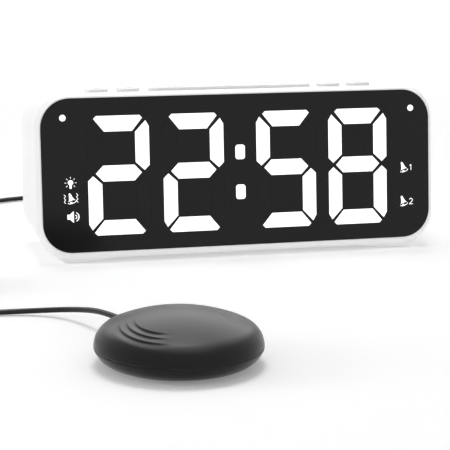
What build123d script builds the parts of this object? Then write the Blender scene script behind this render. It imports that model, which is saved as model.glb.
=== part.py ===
from build123d import *
import math
import os

# A bedside clock with a wide numeral panel, and its round pillow shaker on a thin cord.
# Millimetres, +Z up. The clock faces -Y. The origin is on the table, under the middle of the
# clock and the shaker taken together.

# Case
case_width = 197.8
back_taper = 0.3
case_back_width = case_width - 2 * back_taper
case_depth = 56.0
case_bottom = 1.9
case_corner = 16.0
case_back_corner = 15.5
wall = 2.2
face_lean = 6.0
parting_depth = 9.0
shoulder_depth = 3.0
top_margin = 2.2
cut_over = 2.0

# Front panel, its seat and its lip
panel_margin = 2.4
panel_width = case_width - 2 * panel_margin
panel_height = 73.0
panel_corner = 14.0
panel_thickness = 2.0
panel_bottom = 5.6
panel_gap = 0.1
lip_width = 0.7
ledge_width = 2.5
ledge_thickness = 1.6

# Numerals of seven bars
numeral_width = 29.8
numeral_margin = 8.2
numeral_height = panel_height - 2 * numeral_margin
numeral_inner_share = 0.1197
numeral_outer_share = 0.3088
numeral_inner_place = numeral_inner_share * panel_width
numeral_outer_place = numeral_outer_share * panel_width
numeral_drop = 0.45
upright_bar = 6.7
top_bar = 7.4
top_tip_inset = 3.2
top_inner_inset = 8.15
bottom_bar = 7.05
bottom_tip_inset = 2.65
bottom_inner_inset = 7.4
level_tip_drop = 1.3
middle_bar = 7.5
middle_rise = 1.03
middle_tip_inset = 3.8
middle_inner_inset = 7.35
end_tip_inset = 1.6
end_tip_drop = 2.6
end_shoulder_drop = 5.35
end_inner_drop = 7.95
waist_tip_inset = 2.4
waist_tip_drop = 1.1
waist_shoulder_drop = 3.4
waist_inner_drop = 5.05
light_gap = 0.05

# Colon and corner lamps
colon_width = 4.7
colon_height = 7.0
colon_corner = 1.3
colon_upper = 8.6
colon_lower = -10.7
lamp_radius = 1.5
lamp_left_inset = 10.6
lamp_right_inset = 9.3
lamp_top_inset = 9.1
lamp_left = lamp_left_inset - panel_width / 2
lamp_right = panel_width / 2 - lamp_right_inset
lamp_rise = panel_height / 2 - lamp_top_inset

# Reflector, lamp board and their fixing lugs
reflector_margin = 4.5
reflector_width = panel_width - 2 * reflector_margin
reflector_height = panel_height - 2 * reflector_margin
reflector_corner = 6.0
reflector_thickness = 7.0
board_thickness = 1.6
chip_length = 3.0
chip_width = 1.6
chip_height = 0.9
lug_reach = 9.0
lug_height = 6.0
lug_place = 12.0
lug_screw_inset = 6.5
notch_gap = 0.4

# Screws of the boards and of the case
small_shank = 0.95
small_shank_length = 4.6
small_head = 1.9
small_head_height = 1.2
pilot_gap = 0.05
case_shank = 1.3
case_shank_spare = 12.0
case_shank_length = case_depth - case_shank_spare
case_head = 2.5
case_head_height = 1.8
case_head_sink = 3.0
case_head_gap = 0.3
post_inset = 6.7
post_reach = case_width / 2 - post_inset
post_radius = 4.0
bezel_post_radius = 3.2
post_low_margin = 18.7
post_high_margin = 18.0
post_low = case_bottom + post_low_margin
post_high = panel_bottom + panel_height - post_high_margin
post_meet = 18.0
pilot_depth = 9.0

# Feet and their pads
foot_inset = 7.9
foot_outer_slope = 5.0
foot_flat = 11.5
foot_inner_slope = 13.2
foot_outer = case_width / 2 - foot_inset
foot_flat_end = foot_outer - foot_outer_slope
foot_flat_start = foot_flat_end - foot_flat
foot_inner = foot_flat_start - foot_inner_slope
foot_outer_rise = 4.0
foot_bottom = 0.3
foot_front = 2.7
foot_back_inset = 3.0
foot_inner_fillet = 6.0
foot_outer_fillet = 1.6
pad_length = 10.0
pad_width = 8.0
pad_height = 0.9
pad_corner = 1.5
pad_gap = 0.1
pad_place = (foot_flat_start + foot_flat_end) / 2
pad_front = 16.0
pad_back_inset = 9.0
pad_back = case_depth - pad_back_inset

# Top buttons and the board under them
button_depth = 11.4
button_front = 13.1
button_place = button_front + button_depth / 2
button_rise = 1.6
button_corner = 2.2
button_edge = 0.5
button_gap = 0.3
button_travel = 0.6
flange_reach = 1.2
flange_height = 1.2
snooze_width = 80.0
small_button_width = 9.6
button_space = 5.9
button_pitch = small_button_width + button_space
near_button_place = snooze_width / 2 + button_space + small_button_width / 2
far_button_place = near_button_place + button_pitch
switch_size = 6.0
switch_height = 3.5
plunger_radius = 1.7
plunger_height = 0.9
plunger_spare = 0.3
snooze_switch_inset = 14.0
snooze_switch_place = snooze_width / 2 - snooze_switch_inset
button_board_margin = 13.0
button_board_half = far_button_place + button_board_margin
button_board_lead = 6.8
button_board_tail = 14.0
button_board_front = button_place - button_board_lead
button_board_back = button_place + button_board_tail
hanger_radius = 2.5
hanger_inset = 4.0
hanger_side = button_board_half - hanger_inset
hanger_middle = 20.0
hanger_middle_shift = 10.8
hanger_middle_place = button_place + hanger_middle_shift

# Main board and the sockets at the back
main_board_depth = 24.5
main_board_back_inset = 3.5
main_board_back = case_depth - main_board_back_inset
main_board_front = main_board_back - main_board_depth
main_board_height = 8.0
standoff_radius = 2.4
standoff_inset = 4.0
socket_gap = 0.3
socket_back_gap = 0.2
shaker_socket_place = -12.0
shaker_socket_width = 8.0
shaker_socket_height = 9.6
shaker_socket_length = 16.0
shaker_socket_nose = 3.6
usb_place = 6.0
usb_width = 14.4
usb_height = 6.6
usb_length = 14.0
usb_slot_width = 12.6
usb_slot_height = 5.2
usb_slot_depth = 12.0
usb_tongue_width = 11.5
usb_tongue_height = 1.8
usb_tongue_length = 11.0
usb_tongue_drop = 0.9
selector_place = 24.0
selector_width = 14.0
selector_height = 6.0
selector_length = 7.0
selector_slot_depth = 3.0
knob_width = 3.0
knob_height = 2.6
knob_proud = 1.0
knob_inside = 2.2
knob_step = 2.5
inlet_place = 38.0
inlet_width = 9.0
inlet_height = 10.0
inlet_length = 14.0
inlet_nose = 4.3
inlet_bore = 2.85
inlet_bore_depth = 9.0
inlet_pin = 1.0
inlet_pin_length = 8.5
main_board_left_margin = 12.5
main_board_right_margin = 11.5
main_board_left = shaker_socket_place - main_board_left_margin
main_board_right = inlet_place + main_board_right_margin

# Loudspeaker
speaker_inset = 36.9
speaker_place = case_width / 2 - speaker_inset
speaker_height = 42.0
speaker_radius = 17.0
speaker_cone_radius = 14.5
speaker_flange = 1.2
speaker_depth = 9.0
speaker_neck = 7.5
speaker_skin = 1.0
speaker_magnet_radius = 9.0
speaker_magnet_depth = 5.0
speaker_seat_gap = 0.3
speaker_seat_wall = 1.2
speaker_seat_height = 3.0
grille_pitch = 3.6
grille_hole = 0.95
grille_rings = 3
grille_first_ring = 6

# Backup supply: door, tray, cells and contacts
door_inset = 40.9
door_place = door_inset - case_width / 2
door_width = 52.0
door_low = 23.0
door_height = 28.0
door_thickness = 1.8
door_gap = 0.3
door_sink = 0.2
door_corner = 0.5
pivot_radius = 0.55
pivot_length = 1.3
pivot_gap = 0.06
nail_radius = 5.0
nail_depth = 1.1
tray_wall = 1.2
tray_depth = 14.0
tray_overlap = 0.4
cell_radius = 5.2
cell_length = 44.4
cell_button_radius = 1.9
cell_button_length = 0.9
cell_pitch = 12.6
contact_width = 8.0
contact_thickness = 0.4
contact_spring_radius = 3.0
contact_spring_tip = 1.6

# Shaker housing
shaker_from_clock_x = -70.2
shaker_from_clock_y = -171.6
shaker_radius = 32.5
shaker_seam = 7.4
shaker_dome = 13.85
shaker_shoulder = 9.0
shaker_wall = 1.8
shaker_underside = 3.0
shaker_base_radius = 23.5
shaker_base_height = 0.6
shaker_foot_radius = 15.5
shaker_foot_sink = 0.5
shaker_foot_gap = 0.1
seam_bevel = 0.25
shaker_post_ring = 20.0
shaker_post_radius = 3.0
shaker_posts = 3
shaker_shank = 1.1
shaker_shank_length = 9.0
shaker_head = 2.0
shaker_head_height = 1.3
shaker_head_gap = 0.2
shaker_head_seat = 3.2

# Finger flutes in the shaker's top: two groups of crescents, each drawn from two shifted circles
flute_depth = 0.55
flute_width = 1.6
flute_pitch = 2.9
flute_count = 3
front_flute_x = -2.5
front_flute_y = -5.8
front_flute_radius = 21.8
front_flute_turn = 213.0
front_flute_sweep = 48.0
rear_flute_x = -0.8
rear_flute_y = -12.4
rear_flute_radius = 24.7
rear_flute_turn = 42.0
rear_flute_sweep = 36.0
flute_groups = (
    {
        "x": front_flute_x,
        "y": front_flute_y,
        "radius": front_flute_radius,
        "turn": front_flute_turn,
        "sweep": front_flute_sweep,
    },
    {
        "x": rear_flute_x,
        "y": rear_flute_y,
        "radius": rear_flute_radius,
        "turn": rear_flute_turn,
        "sweep": rear_flute_sweep,
    },
)

# Cord boot on the shaker
boot_turn = 112.0
boot_height = 8.6
boot_reach = 41.5
boot_root_radius = 2.35
boot_tip_radius = 1.75
boot_gap = 0.1
boot_flange_start = 26.9
boot_flange_end = 28.1
boot_flange_radius = 3.4

# Motor in the shaker
motor_height = 9.6
motor_radius = 6.0
motor_start = -12.0
motor_length = 18.0
motor_cap_thickness = 2.0
motor_nose_radius = 2.5
motor_nose_length = 1.5
shaft_radius = 0.75
shaft_gap = 0.05
shaft_start = -11.0
shaft_end = 16.5
weight_radius = 6.0
weight_hub = 2.0
weight_start = 9.0
weight_length = 6.0
cradle_start = -10.0
cradle_length = 14.0
cradle_half = 6.6
cradle_top = 6.2
motor_fit = 0.03
clamp_start = -7.0
clamp_length = 8.0
clamp_thickness = 1.2
clamp_reach = 12.4
clamp_screw_place = 9.9
clamp_seat = 6.5
clamp_post_radius = 2.3

# Cord, its put-away coil and its plug
cord_radius = 1.2
coil_x = -152.0
coil_y = -30.0
coil_outer_radius = 18.4
coil_pitch = 2.9
coil_layer_turns = 3
coil_layers = 4
tie_wall = 0.8
tie_gap = 0.3
tie_width = 4.0
plug_pin_radius = 1.75
plug_pin_length = 14.0
plug_body_radius = 4.4
plug_body_length = 16.0
plug_boot_length = 9.0
plug_boot_radius = 1.9
plug_edge = 0.8
cord_lead = 12.0
arc_share = 0.45

# Where the clock stands in the shared frame
set_left = min(-case_width / 2, shaker_from_clock_x - shaker_radius)
set_right = case_width / 2
set_front = shaker_from_clock_y - shaker_radius
set_back = case_depth + knob_proud
clock_x = -(set_left + set_right) / 2
clock_y = -(set_front + set_back) / 2
shaker_x = clock_x + shaker_from_clock_x
shaker_y = clock_y + shaker_from_clock_y

# The panel's lean, and heights along it
lean_sin = math.sin(math.radians(face_lean))
lean_cos = math.cos(math.radians(face_lean))
face_middle_height = panel_bottom + lean_cos * panel_height / 2
top_edge = panel_height / 2 + top_margin
reflector_back = panel_thickness + reflector_thickness
lamp_board_back = reflector_back + board_thickness

# Working planes. The face looks out at the viewer, the back plane looks into the case.
face = Plane(
    origin=(clock_x, clock_y + lean_sin * panel_height / 2, face_middle_height),
    x_dir=(1, 0, 0),
    z_dir=(0, -lean_cos, lean_sin),
)
back = Plane(origin=(clock_x, clock_y + case_depth, 0), x_dir=(1, 0, 0), z_dir=(0, -1, 0))
top = Plane(
    origin=face.origin + Vector(0, lean_sin, lean_cos) * top_edge,
    x_dir=(1, 0, 0),
    z_dir=(0, lean_sin, lean_cos),
)
shaker_slice = Plane(origin=(shaker_x, shaker_y, 0), x_dir=(1, 0, 0), z_dir=(0, -1, 0))
shaker_axis = Axis((shaker_x, shaker_y, 0), (0, 0, 1))


def behind(depth):
    """The plane that lies this far behind the panel's front."""
    return face.offset(-depth)


def clock_level(height):
    """The level plane at this height, centred on the clock's front."""
    return Plane(origin=(clock_x, clock_y, height))


def shaker_level(height):
    """The level plane at this height, centred on the shaker."""
    return Plane(origin=(shaker_x, shaker_y, height))


def top_height(distance):
    """Height of the case's top surface at a distance behind the panel's lower edge."""
    front_distance = lean_sin * (panel_height + top_margin)
    front_height = panel_bottom + lean_cos * (panel_height + top_margin)
    return front_height - (distance - front_distance) * lean_sin / lean_cos


def underside_on_face(depth):
    """Place of the level underside on the leaning plane that lies this far behind the panel."""
    return (case_bottom - face_middle_height + depth * lean_sin) / lean_cos


def face_place(height, depth):
    """Place on the leaning plane, this far behind the panel, of a point at this height."""
    return (height - face_middle_height + depth * lean_sin) / lean_cos


def rounded_section(plane, width, low, high, corner):
    """A rounded rectangle between two heights of a plane, as a sketch."""
    with BuildSketch(plane) as section:
        with Locations((0, (low + high) / 2)):
            RectangleRounded(width, high - low, corner)
    return section.sketch


def circles(plane, places, radius):
    """Equal circles at places of a plane, as a sketch."""
    with BuildSketch(plane) as spots:
        with Locations(*places):
            Circle(radius)
    return spots.sketch


def rectangles(plane, places, width, height):
    """Equal rectangles at places of a plane, as a sketch."""
    with BuildSketch(plane) as spots:
        with Locations(*places):
            Rectangle(width, height)
    return spots.sketch


def save(piece, name):
    """Label a finished piece and write it to its own file."""
    piece.part.label = name
    export_step(piece.part, f"parts/{name}.step")


os.makedirs("parts", exist_ok=True)


def foot_outlines():
    """Both feet's outlines near the back: flat soles with a long inner and a short outer rise."""
    inside = case_bottom + wall / 2
    with BuildSketch(back.offset(foot_back_inset)) as feet:
        for side in (-1, 1):
            with BuildLine():
                FilletPolyline(
                    (side * foot_inner, case_bottom),
                    (side * foot_flat_start, foot_bottom),
                    (side * foot_flat_end, foot_bottom),
                    (side * foot_outer, foot_outer_rise),
                    radius=(foot_inner_fillet, foot_outer_fillet),
                )
                Polyline(
                    (side * foot_outer, foot_outer_rise),
                    (side * foot_flat_end, inside),
                    (side * foot_inner, inside),
                    (side * foot_inner, case_bottom),
                )
            make_face()
    return feet.sketch


def case_form():
    """The whole case as one solid: front lip, sloping shoulder, tapering body and feet."""
    lip = rounded_section(
        face,
        panel_width + 2 * lip_width,
        -panel_height / 2 - lip_width,
        panel_height / 2 + lip_width,
        panel_corner + lip_width,
    )
    shoulder = rounded_section(
        behind(shoulder_depth), case_width, underside_on_face(shoulder_depth), top_edge, case_corner
    )
    rear = rounded_section(
        back, case_back_width, case_bottom, top_height(case_depth), case_back_corner
    )
    with BuildPart() as form:
        loft([lip, shoulder], ruled=True)
        loft([shoulder, rear], ruled=True)
        extrude(foot_outlines(), amount=case_depth - foot_front - foot_back_inset)
    return form.part


def case_cavity():
    """The space inside the case, from the back of the panel's ledge to the back wall."""
    front_depth = panel_thickness + ledge_thickness
    front = rounded_section(
        behind(front_depth),
        case_width - 2 * wall,
        underside_on_face(front_depth) + wall,
        top_edge - wall,
        case_corner - wall,
    )
    rear = rounded_section(
        back.offset(wall),
        case_back_width - 2 * wall,
        case_bottom + wall,
        top_height(case_depth - wall) - wall / lean_cos,
        case_back_corner - wall,
    )
    with BuildPart() as cavity:
        loft([front, rear], ruled=True)
    return cavity.part


case_solid = case_form()
case_space = case_cavity()
post_places = [(side * post_reach, height) for side in (-1, 1) for height in (post_low, post_high)]
lug_places = [(side, rise) for side in (-1, 1) for rise in (-lug_place, lug_place)]
case_inside_half = case_width / 2 - wall

# Front bezel
lug_width = lug_reach + wall / 2
lug_middle = case_inside_half - lug_reach + lug_width / 2
lug_spots = [(side * lug_middle, rise) for side, rise in lug_places]
lug_screw_spots = [(side * (case_inside_half - lug_screw_inset), rise) for side, rise in lug_places]
ledge_middle_depth = panel_thickness + ledge_thickness / 2
with BuildPart() as front_bezel:
    add(case_solid)
    split(bisect_by=behind(parting_depth), keep=Keep.TOP)
    add(case_space, mode=Mode.SUBTRACT)
    extrude(
        rectangles(behind(reflector_back), lug_spots, lug_width, lug_height),
        amount=reflector_back - ledge_middle_depth,
    )
    for place in post_places:
        post_length = post_meet - (place[1] - panel_bottom) * lean_sin / lean_cos - ledge_middle_depth
        extrude(
            circles(back.offset(case_depth - post_meet), [place], bezel_post_radius),
            amount=post_length,
        )
    extrude(
        circles(back.offset(case_depth - post_meet), post_places, case_shank + pilot_gap),
        amount=pilot_depth,
        mode=Mode.SUBTRACT,
    )
    extrude(
        circles(behind(reflector_back), lug_screw_spots, small_shank + pilot_gap),
        amount=small_shank_length - board_thickness + pilot_gap,
        mode=Mode.SUBTRACT,
    )
    with BuildSketch(face):
        RectangleRounded(panel_width + 2 * panel_gap, panel_height + 2 * panel_gap, panel_corner + panel_gap)
    extrude(amount=-panel_thickness, mode=Mode.SUBTRACT)
    with BuildSketch(behind(panel_thickness)):
        RectangleRounded(
            panel_width - 2 * ledge_width, panel_height - 2 * ledge_width, panel_corner - ledge_width
        )
        with Locations(*lug_spots):
            Rectangle(lug_width, lug_height, mode=Mode.SUBTRACT)
    extrude(amount=-ledge_thickness, mode=Mode.SUBTRACT)
save(front_bezel, "front_bezel")

# Rear shell
buttons = {
    "button_far_left": (-far_button_place, small_button_width),
    "button_near_left": (-near_button_place, small_button_width),
    "snooze_bar": (0, snooze_width),
    "button_near_right": (near_button_place, small_button_width),
    "button_far_right": (far_button_place, small_button_width),
}
hanger_places = [
    (-hanger_side, button_place),
    (hanger_side, button_place),
    (-hanger_middle, hanger_middle_place),
    (hanger_middle, hanger_middle_place),
]
plunger_free = button_travel + plunger_spare
button_board_top = wall + button_gap + flange_height + plunger_free + plunger_height + switch_height
standoff_places = [
    (x, y)
    for x in (main_board_left + standoff_inset, main_board_right - standoff_inset)
    for y in (main_board_front + standoff_inset, main_board_back - standoff_inset)
]
main_board_top = main_board_height + board_thickness
shaker_socket_axis = main_board_top + shaker_socket_height / 2
usb_axis = main_board_top + usb_height / 2
selector_axis = main_board_top + selector_height / 2
inlet_axis = main_board_top + inlet_height / 2
pad_places = [(side * pad_place, y) for side in (-1, 1) for y in (pad_front, pad_back)]
door_middle = door_low + door_height / 2
pivot_rise = door_low + door_thickness / 2
pivot_inset = door_sink + door_thickness / 2
door_opening_width = door_width + 2 * door_gap
door_opening_height = door_height + 2 * door_gap
with BuildPart() as rear_shell:
    add(case_solid)
    split(bisect_by=behind(parting_depth), keep=Keep.BOTTOM)
    add(case_space, mode=Mode.SUBTRACT)
    extrude(
        circles(back.offset(wall / 2), post_places, post_radius),
        amount=case_depth - post_meet - wall / 2,
    )
    extrude(circles(back, post_places, case_shank + case_head_gap / 2), amount=case_depth, mode=Mode.SUBTRACT)
    extrude(
        circles(back, post_places, case_head + case_head_gap), amount=case_head_sink, mode=Mode.SUBTRACT
    )
    extrude(
        circles(top.offset(-wall / 2), hanger_places, hanger_radius),
        amount=wall / 2 - button_board_top,
    )
    extrude(
        circles(top.offset(-button_board_top), hanger_places, small_shank + pilot_gap),
        amount=small_shank_length - board_thickness + pilot_gap,
        mode=Mode.SUBTRACT,
    )
    extrude(
        circles(clock_level(case_bottom + wall / 2), standoff_places, standoff_radius),
        amount=main_board_height - case_bottom - wall / 2,
    )
    extrude(
        circles(clock_level(main_board_height), standoff_places, small_shank + pilot_gap),
        amount=board_thickness - small_shank_length - pilot_gap,
        mode=Mode.SUBTRACT,
    )
    for place, width in buttons.values():
        with BuildSketch(top):
            with Locations((place, button_place)):
                RectangleRounded(
                    width + 2 * button_gap, button_depth + 2 * button_gap, button_corner + button_gap
                )
        extrude(amount=-wall - cut_over / 2, mode=Mode.SUBTRACT)
    extrude(
        circles(back, [(shaker_socket_place, shaker_socket_axis)], shaker_socket_nose + socket_gap),
        amount=wall,
        mode=Mode.SUBTRACT,
    )
    extrude(
        rectangles(
            back, [(usb_place, usb_axis)], usb_width + 2 * socket_gap, usb_height + 2 * socket_gap
        ),
        amount=wall,
        mode=Mode.SUBTRACT,
    )
    extrude(
        rectangles(
            back,
            [(selector_place, selector_axis)],
            knob_width + 2 * knob_step + 2 * socket_gap,
            knob_height + 2 * socket_gap,
        ),
        amount=wall,
        mode=Mode.SUBTRACT,
    )
    extrude(
        circles(back, [(inlet_place, inlet_axis)], inlet_nose + socket_gap), amount=wall, mode=Mode.SUBTRACT
    )
    speaker_spot = (speaker_place, speaker_height)
    seat_inside = speaker_radius + speaker_seat_gap
    with BuildSketch(back.offset(wall)):
        with Locations(speaker_spot):
            Circle(seat_inside + speaker_seat_wall)
            Circle(seat_inside, mode=Mode.SUBTRACT)
    extrude(amount=speaker_seat_height)
    with BuildSketch(back):
        with Locations(speaker_spot):
            Circle(grille_hole)
            for ring in range(1, grille_rings + 1):
                with PolarLocations(ring * grille_pitch, grille_first_ring * ring):
                    Circle(grille_hole)
    extrude(amount=wall, mode=Mode.SUBTRACT)
    with BuildSketch(back):
        with Locations((door_place, door_middle)):
            Rectangle(door_opening_width, door_opening_height)
        with Locations((door_place, door_middle + door_opening_height / 2)):
            Circle(nail_radius)
    extrude(amount=nail_depth, mode=Mode.SUBTRACT)
    with BuildSketch(back):
        with Locations((door_place, door_middle)):
            Rectangle(door_opening_width, door_opening_height)
    extrude(amount=wall, mode=Mode.SUBTRACT)
    pivot_plane = Plane(
        origin=(clock_x + door_place, clock_y + case_depth - pivot_inset, pivot_rise), z_dir=(1, 0, 0)
    )
    with BuildSketch(pivot_plane):
        Circle(pivot_radius + pivot_gap)
    extrude(amount=door_width / 2 + pivot_length + 2 * pivot_gap, both=True, mode=Mode.SUBTRACT)
    with BuildSketch(clock_level(foot_bottom)):
        with Locations(*pad_places):
            RectangleRounded(pad_length + 2 * pad_gap, pad_width + 2 * pad_gap, pad_corner + pad_gap)
    extrude(amount=pad_height - foot_bottom, mode=Mode.SUBTRACT)
save(rear_shell, "rear_shell")

with BuildPart() as rubber_pads:
    with BuildSketch(clock_level(0)):
        with Locations(*pad_places):
            RectangleRounded(pad_length, pad_width, pad_corner)
    extrude(amount=pad_height)
save(rubber_pads, "rubber_pads")

# Numerals
half_width = numeral_width / 2
half_height = numeral_height / 2


def level_bar_outline(side, thickness, tip_inset, inner_inset):
    """Outline of the top bar for side 1, and of the bottom bar for side -1."""
    tip = half_width - tip_inset
    inner = half_width - inner_inset
    return [
        (-tip, side * (half_height - level_tip_drop)),
        (-tip + level_tip_drop, side * half_height),
        (tip - level_tip_drop, side * half_height),
        (tip, side * (half_height - level_tip_drop)),
        (inner, side * (half_height - thickness)),
        (-inner, side * (half_height - thickness)),
    ]


def upright_bar_outline(across, up):
    """Outline of one upright bar: across is its side, up is 1 above the waist and -1 below."""
    inner = half_width - upright_bar
    waist = middle_rise * up
    return [
        (across * (half_width - end_tip_inset), up * (half_height - end_tip_drop)),
        (across * half_width, up * (half_height - end_shoulder_drop)),
        (across * half_width, up * (waist + waist_shoulder_drop)),
        (across * (half_width - waist_tip_inset), up * (waist + waist_tip_drop)),
        (across * inner, up * (waist + waist_inner_drop)),
        (across * inner, up * (half_height - end_inner_drop)),
    ]


def middle_bar_outline():
    """Outline of the middle bar, pointed at both ends."""
    tip = half_width - middle_tip_inset
    inner = half_width - middle_inner_inset
    return [
        (-tip, middle_rise),
        (-inner, middle_rise + middle_bar / 2),
        (inner, middle_rise + middle_bar / 2),
        (tip, middle_rise),
        (inner, middle_rise - middle_bar / 2),
        (-inner, middle_rise - middle_bar / 2),
    ]


bar_outlines = {
    "top": level_bar_outline(1, top_bar, top_tip_inset, top_inner_inset),
    "bottom": level_bar_outline(-1, bottom_bar, bottom_tip_inset, bottom_inner_inset),
    "middle": middle_bar_outline(),
    "upper_left": upright_bar_outline(-1, 1),
    "upper_right": upright_bar_outline(1, 1),
    "lower_left": upright_bar_outline(-1, -1),
    "lower_right": upright_bar_outline(1, -1),
}
upright_middle = half_width - upright_bar / 2
bar_middles = {
    "top": (0, half_height - top_bar / 2),
    "bottom": (0, bottom_bar / 2 - half_height),
    "middle": (0, middle_rise),
    "upper_left": (-upright_middle, half_height / 2),
    "upper_right": (upright_middle, half_height / 2),
    "lower_left": (-upright_middle, -half_height / 2),
    "lower_right": (upright_middle, -half_height / 2),
}
shape_of_two = ("top", "upper_right", "middle", "lower_left", "bottom")
shape_of_five = ("top", "upper_left", "middle", "lower_right", "bottom")
numerals = {
    "hour_tens_bars": (-numeral_outer_place, shape_of_two),
    "hour_units_bars": (-numeral_inner_place, shape_of_two),
    "minute_tens_bars": (numeral_inner_place, shape_of_five),
    "minute_units_bars": (numeral_outer_place, tuple(bar_outlines)),
}
colon_spots = [(0, colon_upper), (0, colon_lower)]
lamp_spots = [(lamp_left, lamp_rise), (lamp_right, lamp_rise)]


def light_windows(depth, gap):
    """Every window of the panel, wider by a gap, on the plane this far behind the front."""
    with BuildSketch(behind(depth)) as windows:
        for place, _ in numerals.values():
            for outline in bar_outlines.values():
                with Locations((place, -numeral_drop)):
                    Polygon(*outline, align=None)
        with Locations(*colon_spots):
            RectangleRounded(colon_width, colon_height, colon_corner)
        with Locations(*lamp_spots):
            Circle(lamp_radius)
        offset(amount=gap, kind=Kind.INTERSECTION)
    return windows.sketch


with BuildPart() as display_panel:
    with BuildSketch(face):
        RectangleRounded(panel_width, panel_height, panel_corner)
    extrude(amount=-panel_thickness)
    extrude(light_windows(0, light_gap), amount=-panel_thickness, mode=Mode.SUBTRACT)
save(display_panel, "display_panel")

for name, (place, lit) in numerals.items():
    with BuildPart() as lit_bars:
        with BuildSketch(face):
            with Locations((place, -numeral_drop)):
                for bar in lit:
                    Polygon(*bar_outlines[bar], align=None)
        extrude(amount=-panel_thickness)
    save(lit_bars, name)

with BuildPart() as unlit_bars:
    with BuildSketch(face):
        for place, lit in numerals.values():
            for bar, outline in bar_outlines.items():
                if bar not in lit:
                    with Locations((place, -numeral_drop)):
                        Polygon(*outline, align=None)
    extrude(amount=-panel_thickness)
save(unlit_bars, "unlit_bars")

with BuildPart() as colon_dots:
    with BuildSketch(face):
        with Locations(*colon_spots):
            RectangleRounded(colon_width, colon_height, colon_corner)
    extrude(amount=-panel_thickness)
save(colon_dots, "colon_dots")

with BuildPart() as indicator_dots:
    extrude(circles(face, lamp_spots, lamp_radius), amount=-panel_thickness)
save(indicator_dots, "indicator_dots")

# Reflector block, lamp board and lamps
post_notch = 2 * (bezel_post_radius + notch_gap) + lamp_board_back * lean_sin


def post_notches(depth, thickness):
    """Notches that clear the bezel's screw posts, as rectangles at the ends of a plate."""
    middle_depth = depth + thickness / 2
    places = [
        (math.copysign(post_reach, x), face_place(height, middle_depth)) for x, height in post_places
    ]
    return rectangles(behind(depth), places, 2 * (bezel_post_radius + notch_gap), post_notch)


with BuildPart() as reflector_block:
    with BuildSketch(behind(panel_thickness)):
        RectangleRounded(reflector_width, reflector_height, reflector_corner)
        with Locations(*lug_spots):
            Rectangle(lug_width + 2 * notch_gap, lug_height + 2 * notch_gap, mode=Mode.SUBTRACT)
    extrude(amount=-reflector_thickness)
    extrude(light_windows(panel_thickness, light_gap), amount=-reflector_thickness, mode=Mode.SUBTRACT)
    extrude(
        post_notches(panel_thickness, reflector_thickness), amount=-reflector_thickness, mode=Mode.SUBTRACT
    )
save(reflector_block, "reflector_block")

with BuildPart() as led_board:
    with BuildSketch(behind(reflector_back)):
        RectangleRounded(reflector_width, reflector_height, reflector_corner)
        with Locations(*lug_screw_spots):
            Circle(small_shank + pilot_gap, mode=Mode.SUBTRACT)
    extrude(amount=-board_thickness)
    extrude(post_notches(reflector_back, board_thickness), amount=-board_thickness, mode=Mode.SUBTRACT)
save(led_board, "led_board")

with BuildPart() as led_chips:
    with BuildSketch(behind(reflector_back)):
        for place, _ in numerals.values():
            for x, y in bar_middles.values():
                with Locations((place + x, y - numeral_drop)):
                    Rectangle(chip_width, chip_length)
        with Locations(*colon_spots):
            Rectangle(chip_width, chip_length)
        with Locations(*lamp_spots):
            Rectangle(chip_width, chip_width)
    extrude(amount=chip_height)
save(led_chips, "led_chips")

# Top buttons, their switches and board
cap_bottom = wall + button_gap
for name, (place, width) in buttons.items():
    with BuildPart() as button:
        with BuildSketch(top.offset(button_rise)):
            with Locations((place, button_place)):
                RectangleRounded(width, button_depth, button_corner)
        extrude(amount=-button_rise - cap_bottom)
        rim = button.faces().filter_by(Axis(top.origin, top.z_dir)).sort_by(Axis(top.origin, top.z_dir))[-1]
        fillet(rim.edges(), button_edge)
        with BuildSketch(top.offset(-cap_bottom)):
            with Locations((place, button_place)):
                RectangleRounded(
                    width + 2 * flange_reach, button_depth + 2 * flange_reach, button_corner + flange_reach
                )
        extrude(amount=-flange_height)
    save(button, name)

switch_spots = [(place, button_place) for place, width in buttons.values() if width < snooze_width]
switch_spots += [(side * snooze_switch_place, button_place) for side in (-1, 1)]
with BuildPart() as tact_switches:
    extrude(
        rectangles(top.offset(-button_board_top), switch_spots, switch_size, switch_size),
        amount=switch_height,
    )
    extrude(
        circles(top.offset(-button_board_top), switch_spots, plunger_radius),
        amount=switch_height + plunger_height,
    )
save(tact_switches, "tact_switches")

with BuildPart() as button_board:
    with BuildSketch(top.offset(-button_board_top)):
        with Locations((0, (button_board_front + button_board_back) / 2)):
            Rectangle(2 * button_board_half, button_board_back - button_board_front)
        with Locations(*hanger_places):
            Circle(small_shank + pilot_gap, mode=Mode.SUBTRACT)
    extrude(amount=-board_thickness)
save(button_board, "button_board")

# Main board and sockets
with BuildPart() as main_board:
    with BuildSketch(clock_level(main_board_height)):
        with Locations(((main_board_left + main_board_right) / 2, (main_board_front + main_board_back) / 2)):
            Rectangle(main_board_right - main_board_left, main_board_back - main_board_front)
        with Locations(*standoff_places):
            Circle(small_shank + pilot_gap, mode=Mode.SUBTRACT)
    extrude(amount=board_thickness)
save(main_board, "main_board")

socket_seat = wall + socket_back_gap
with BuildPart() as shaker_socket:
    spot = [(shaker_socket_place, shaker_socket_axis)]
    extrude(
        rectangles(back.offset(socket_seat), spot, shaker_socket_width, shaker_socket_height),
        amount=shaker_socket_length - socket_seat,
    )
    extrude(circles(back, spot, shaker_socket_nose), amount=socket_seat)
    extrude(
        circles(back, spot, plug_pin_radius + pilot_gap),
        amount=plug_pin_length + pilot_gap,
        mode=Mode.SUBTRACT,
    )
save(shaker_socket, "shaker_socket")

with BuildPart() as usb_socket:
    spot = [(usb_place, usb_axis)]
    extrude(rectangles(back, spot, usb_width, usb_height), amount=usb_length)
    extrude(
        rectangles(back, spot, usb_slot_width, usb_slot_height), amount=usb_slot_depth, mode=Mode.SUBTRACT
    )
save(usb_socket, "usb_socket")

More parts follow.
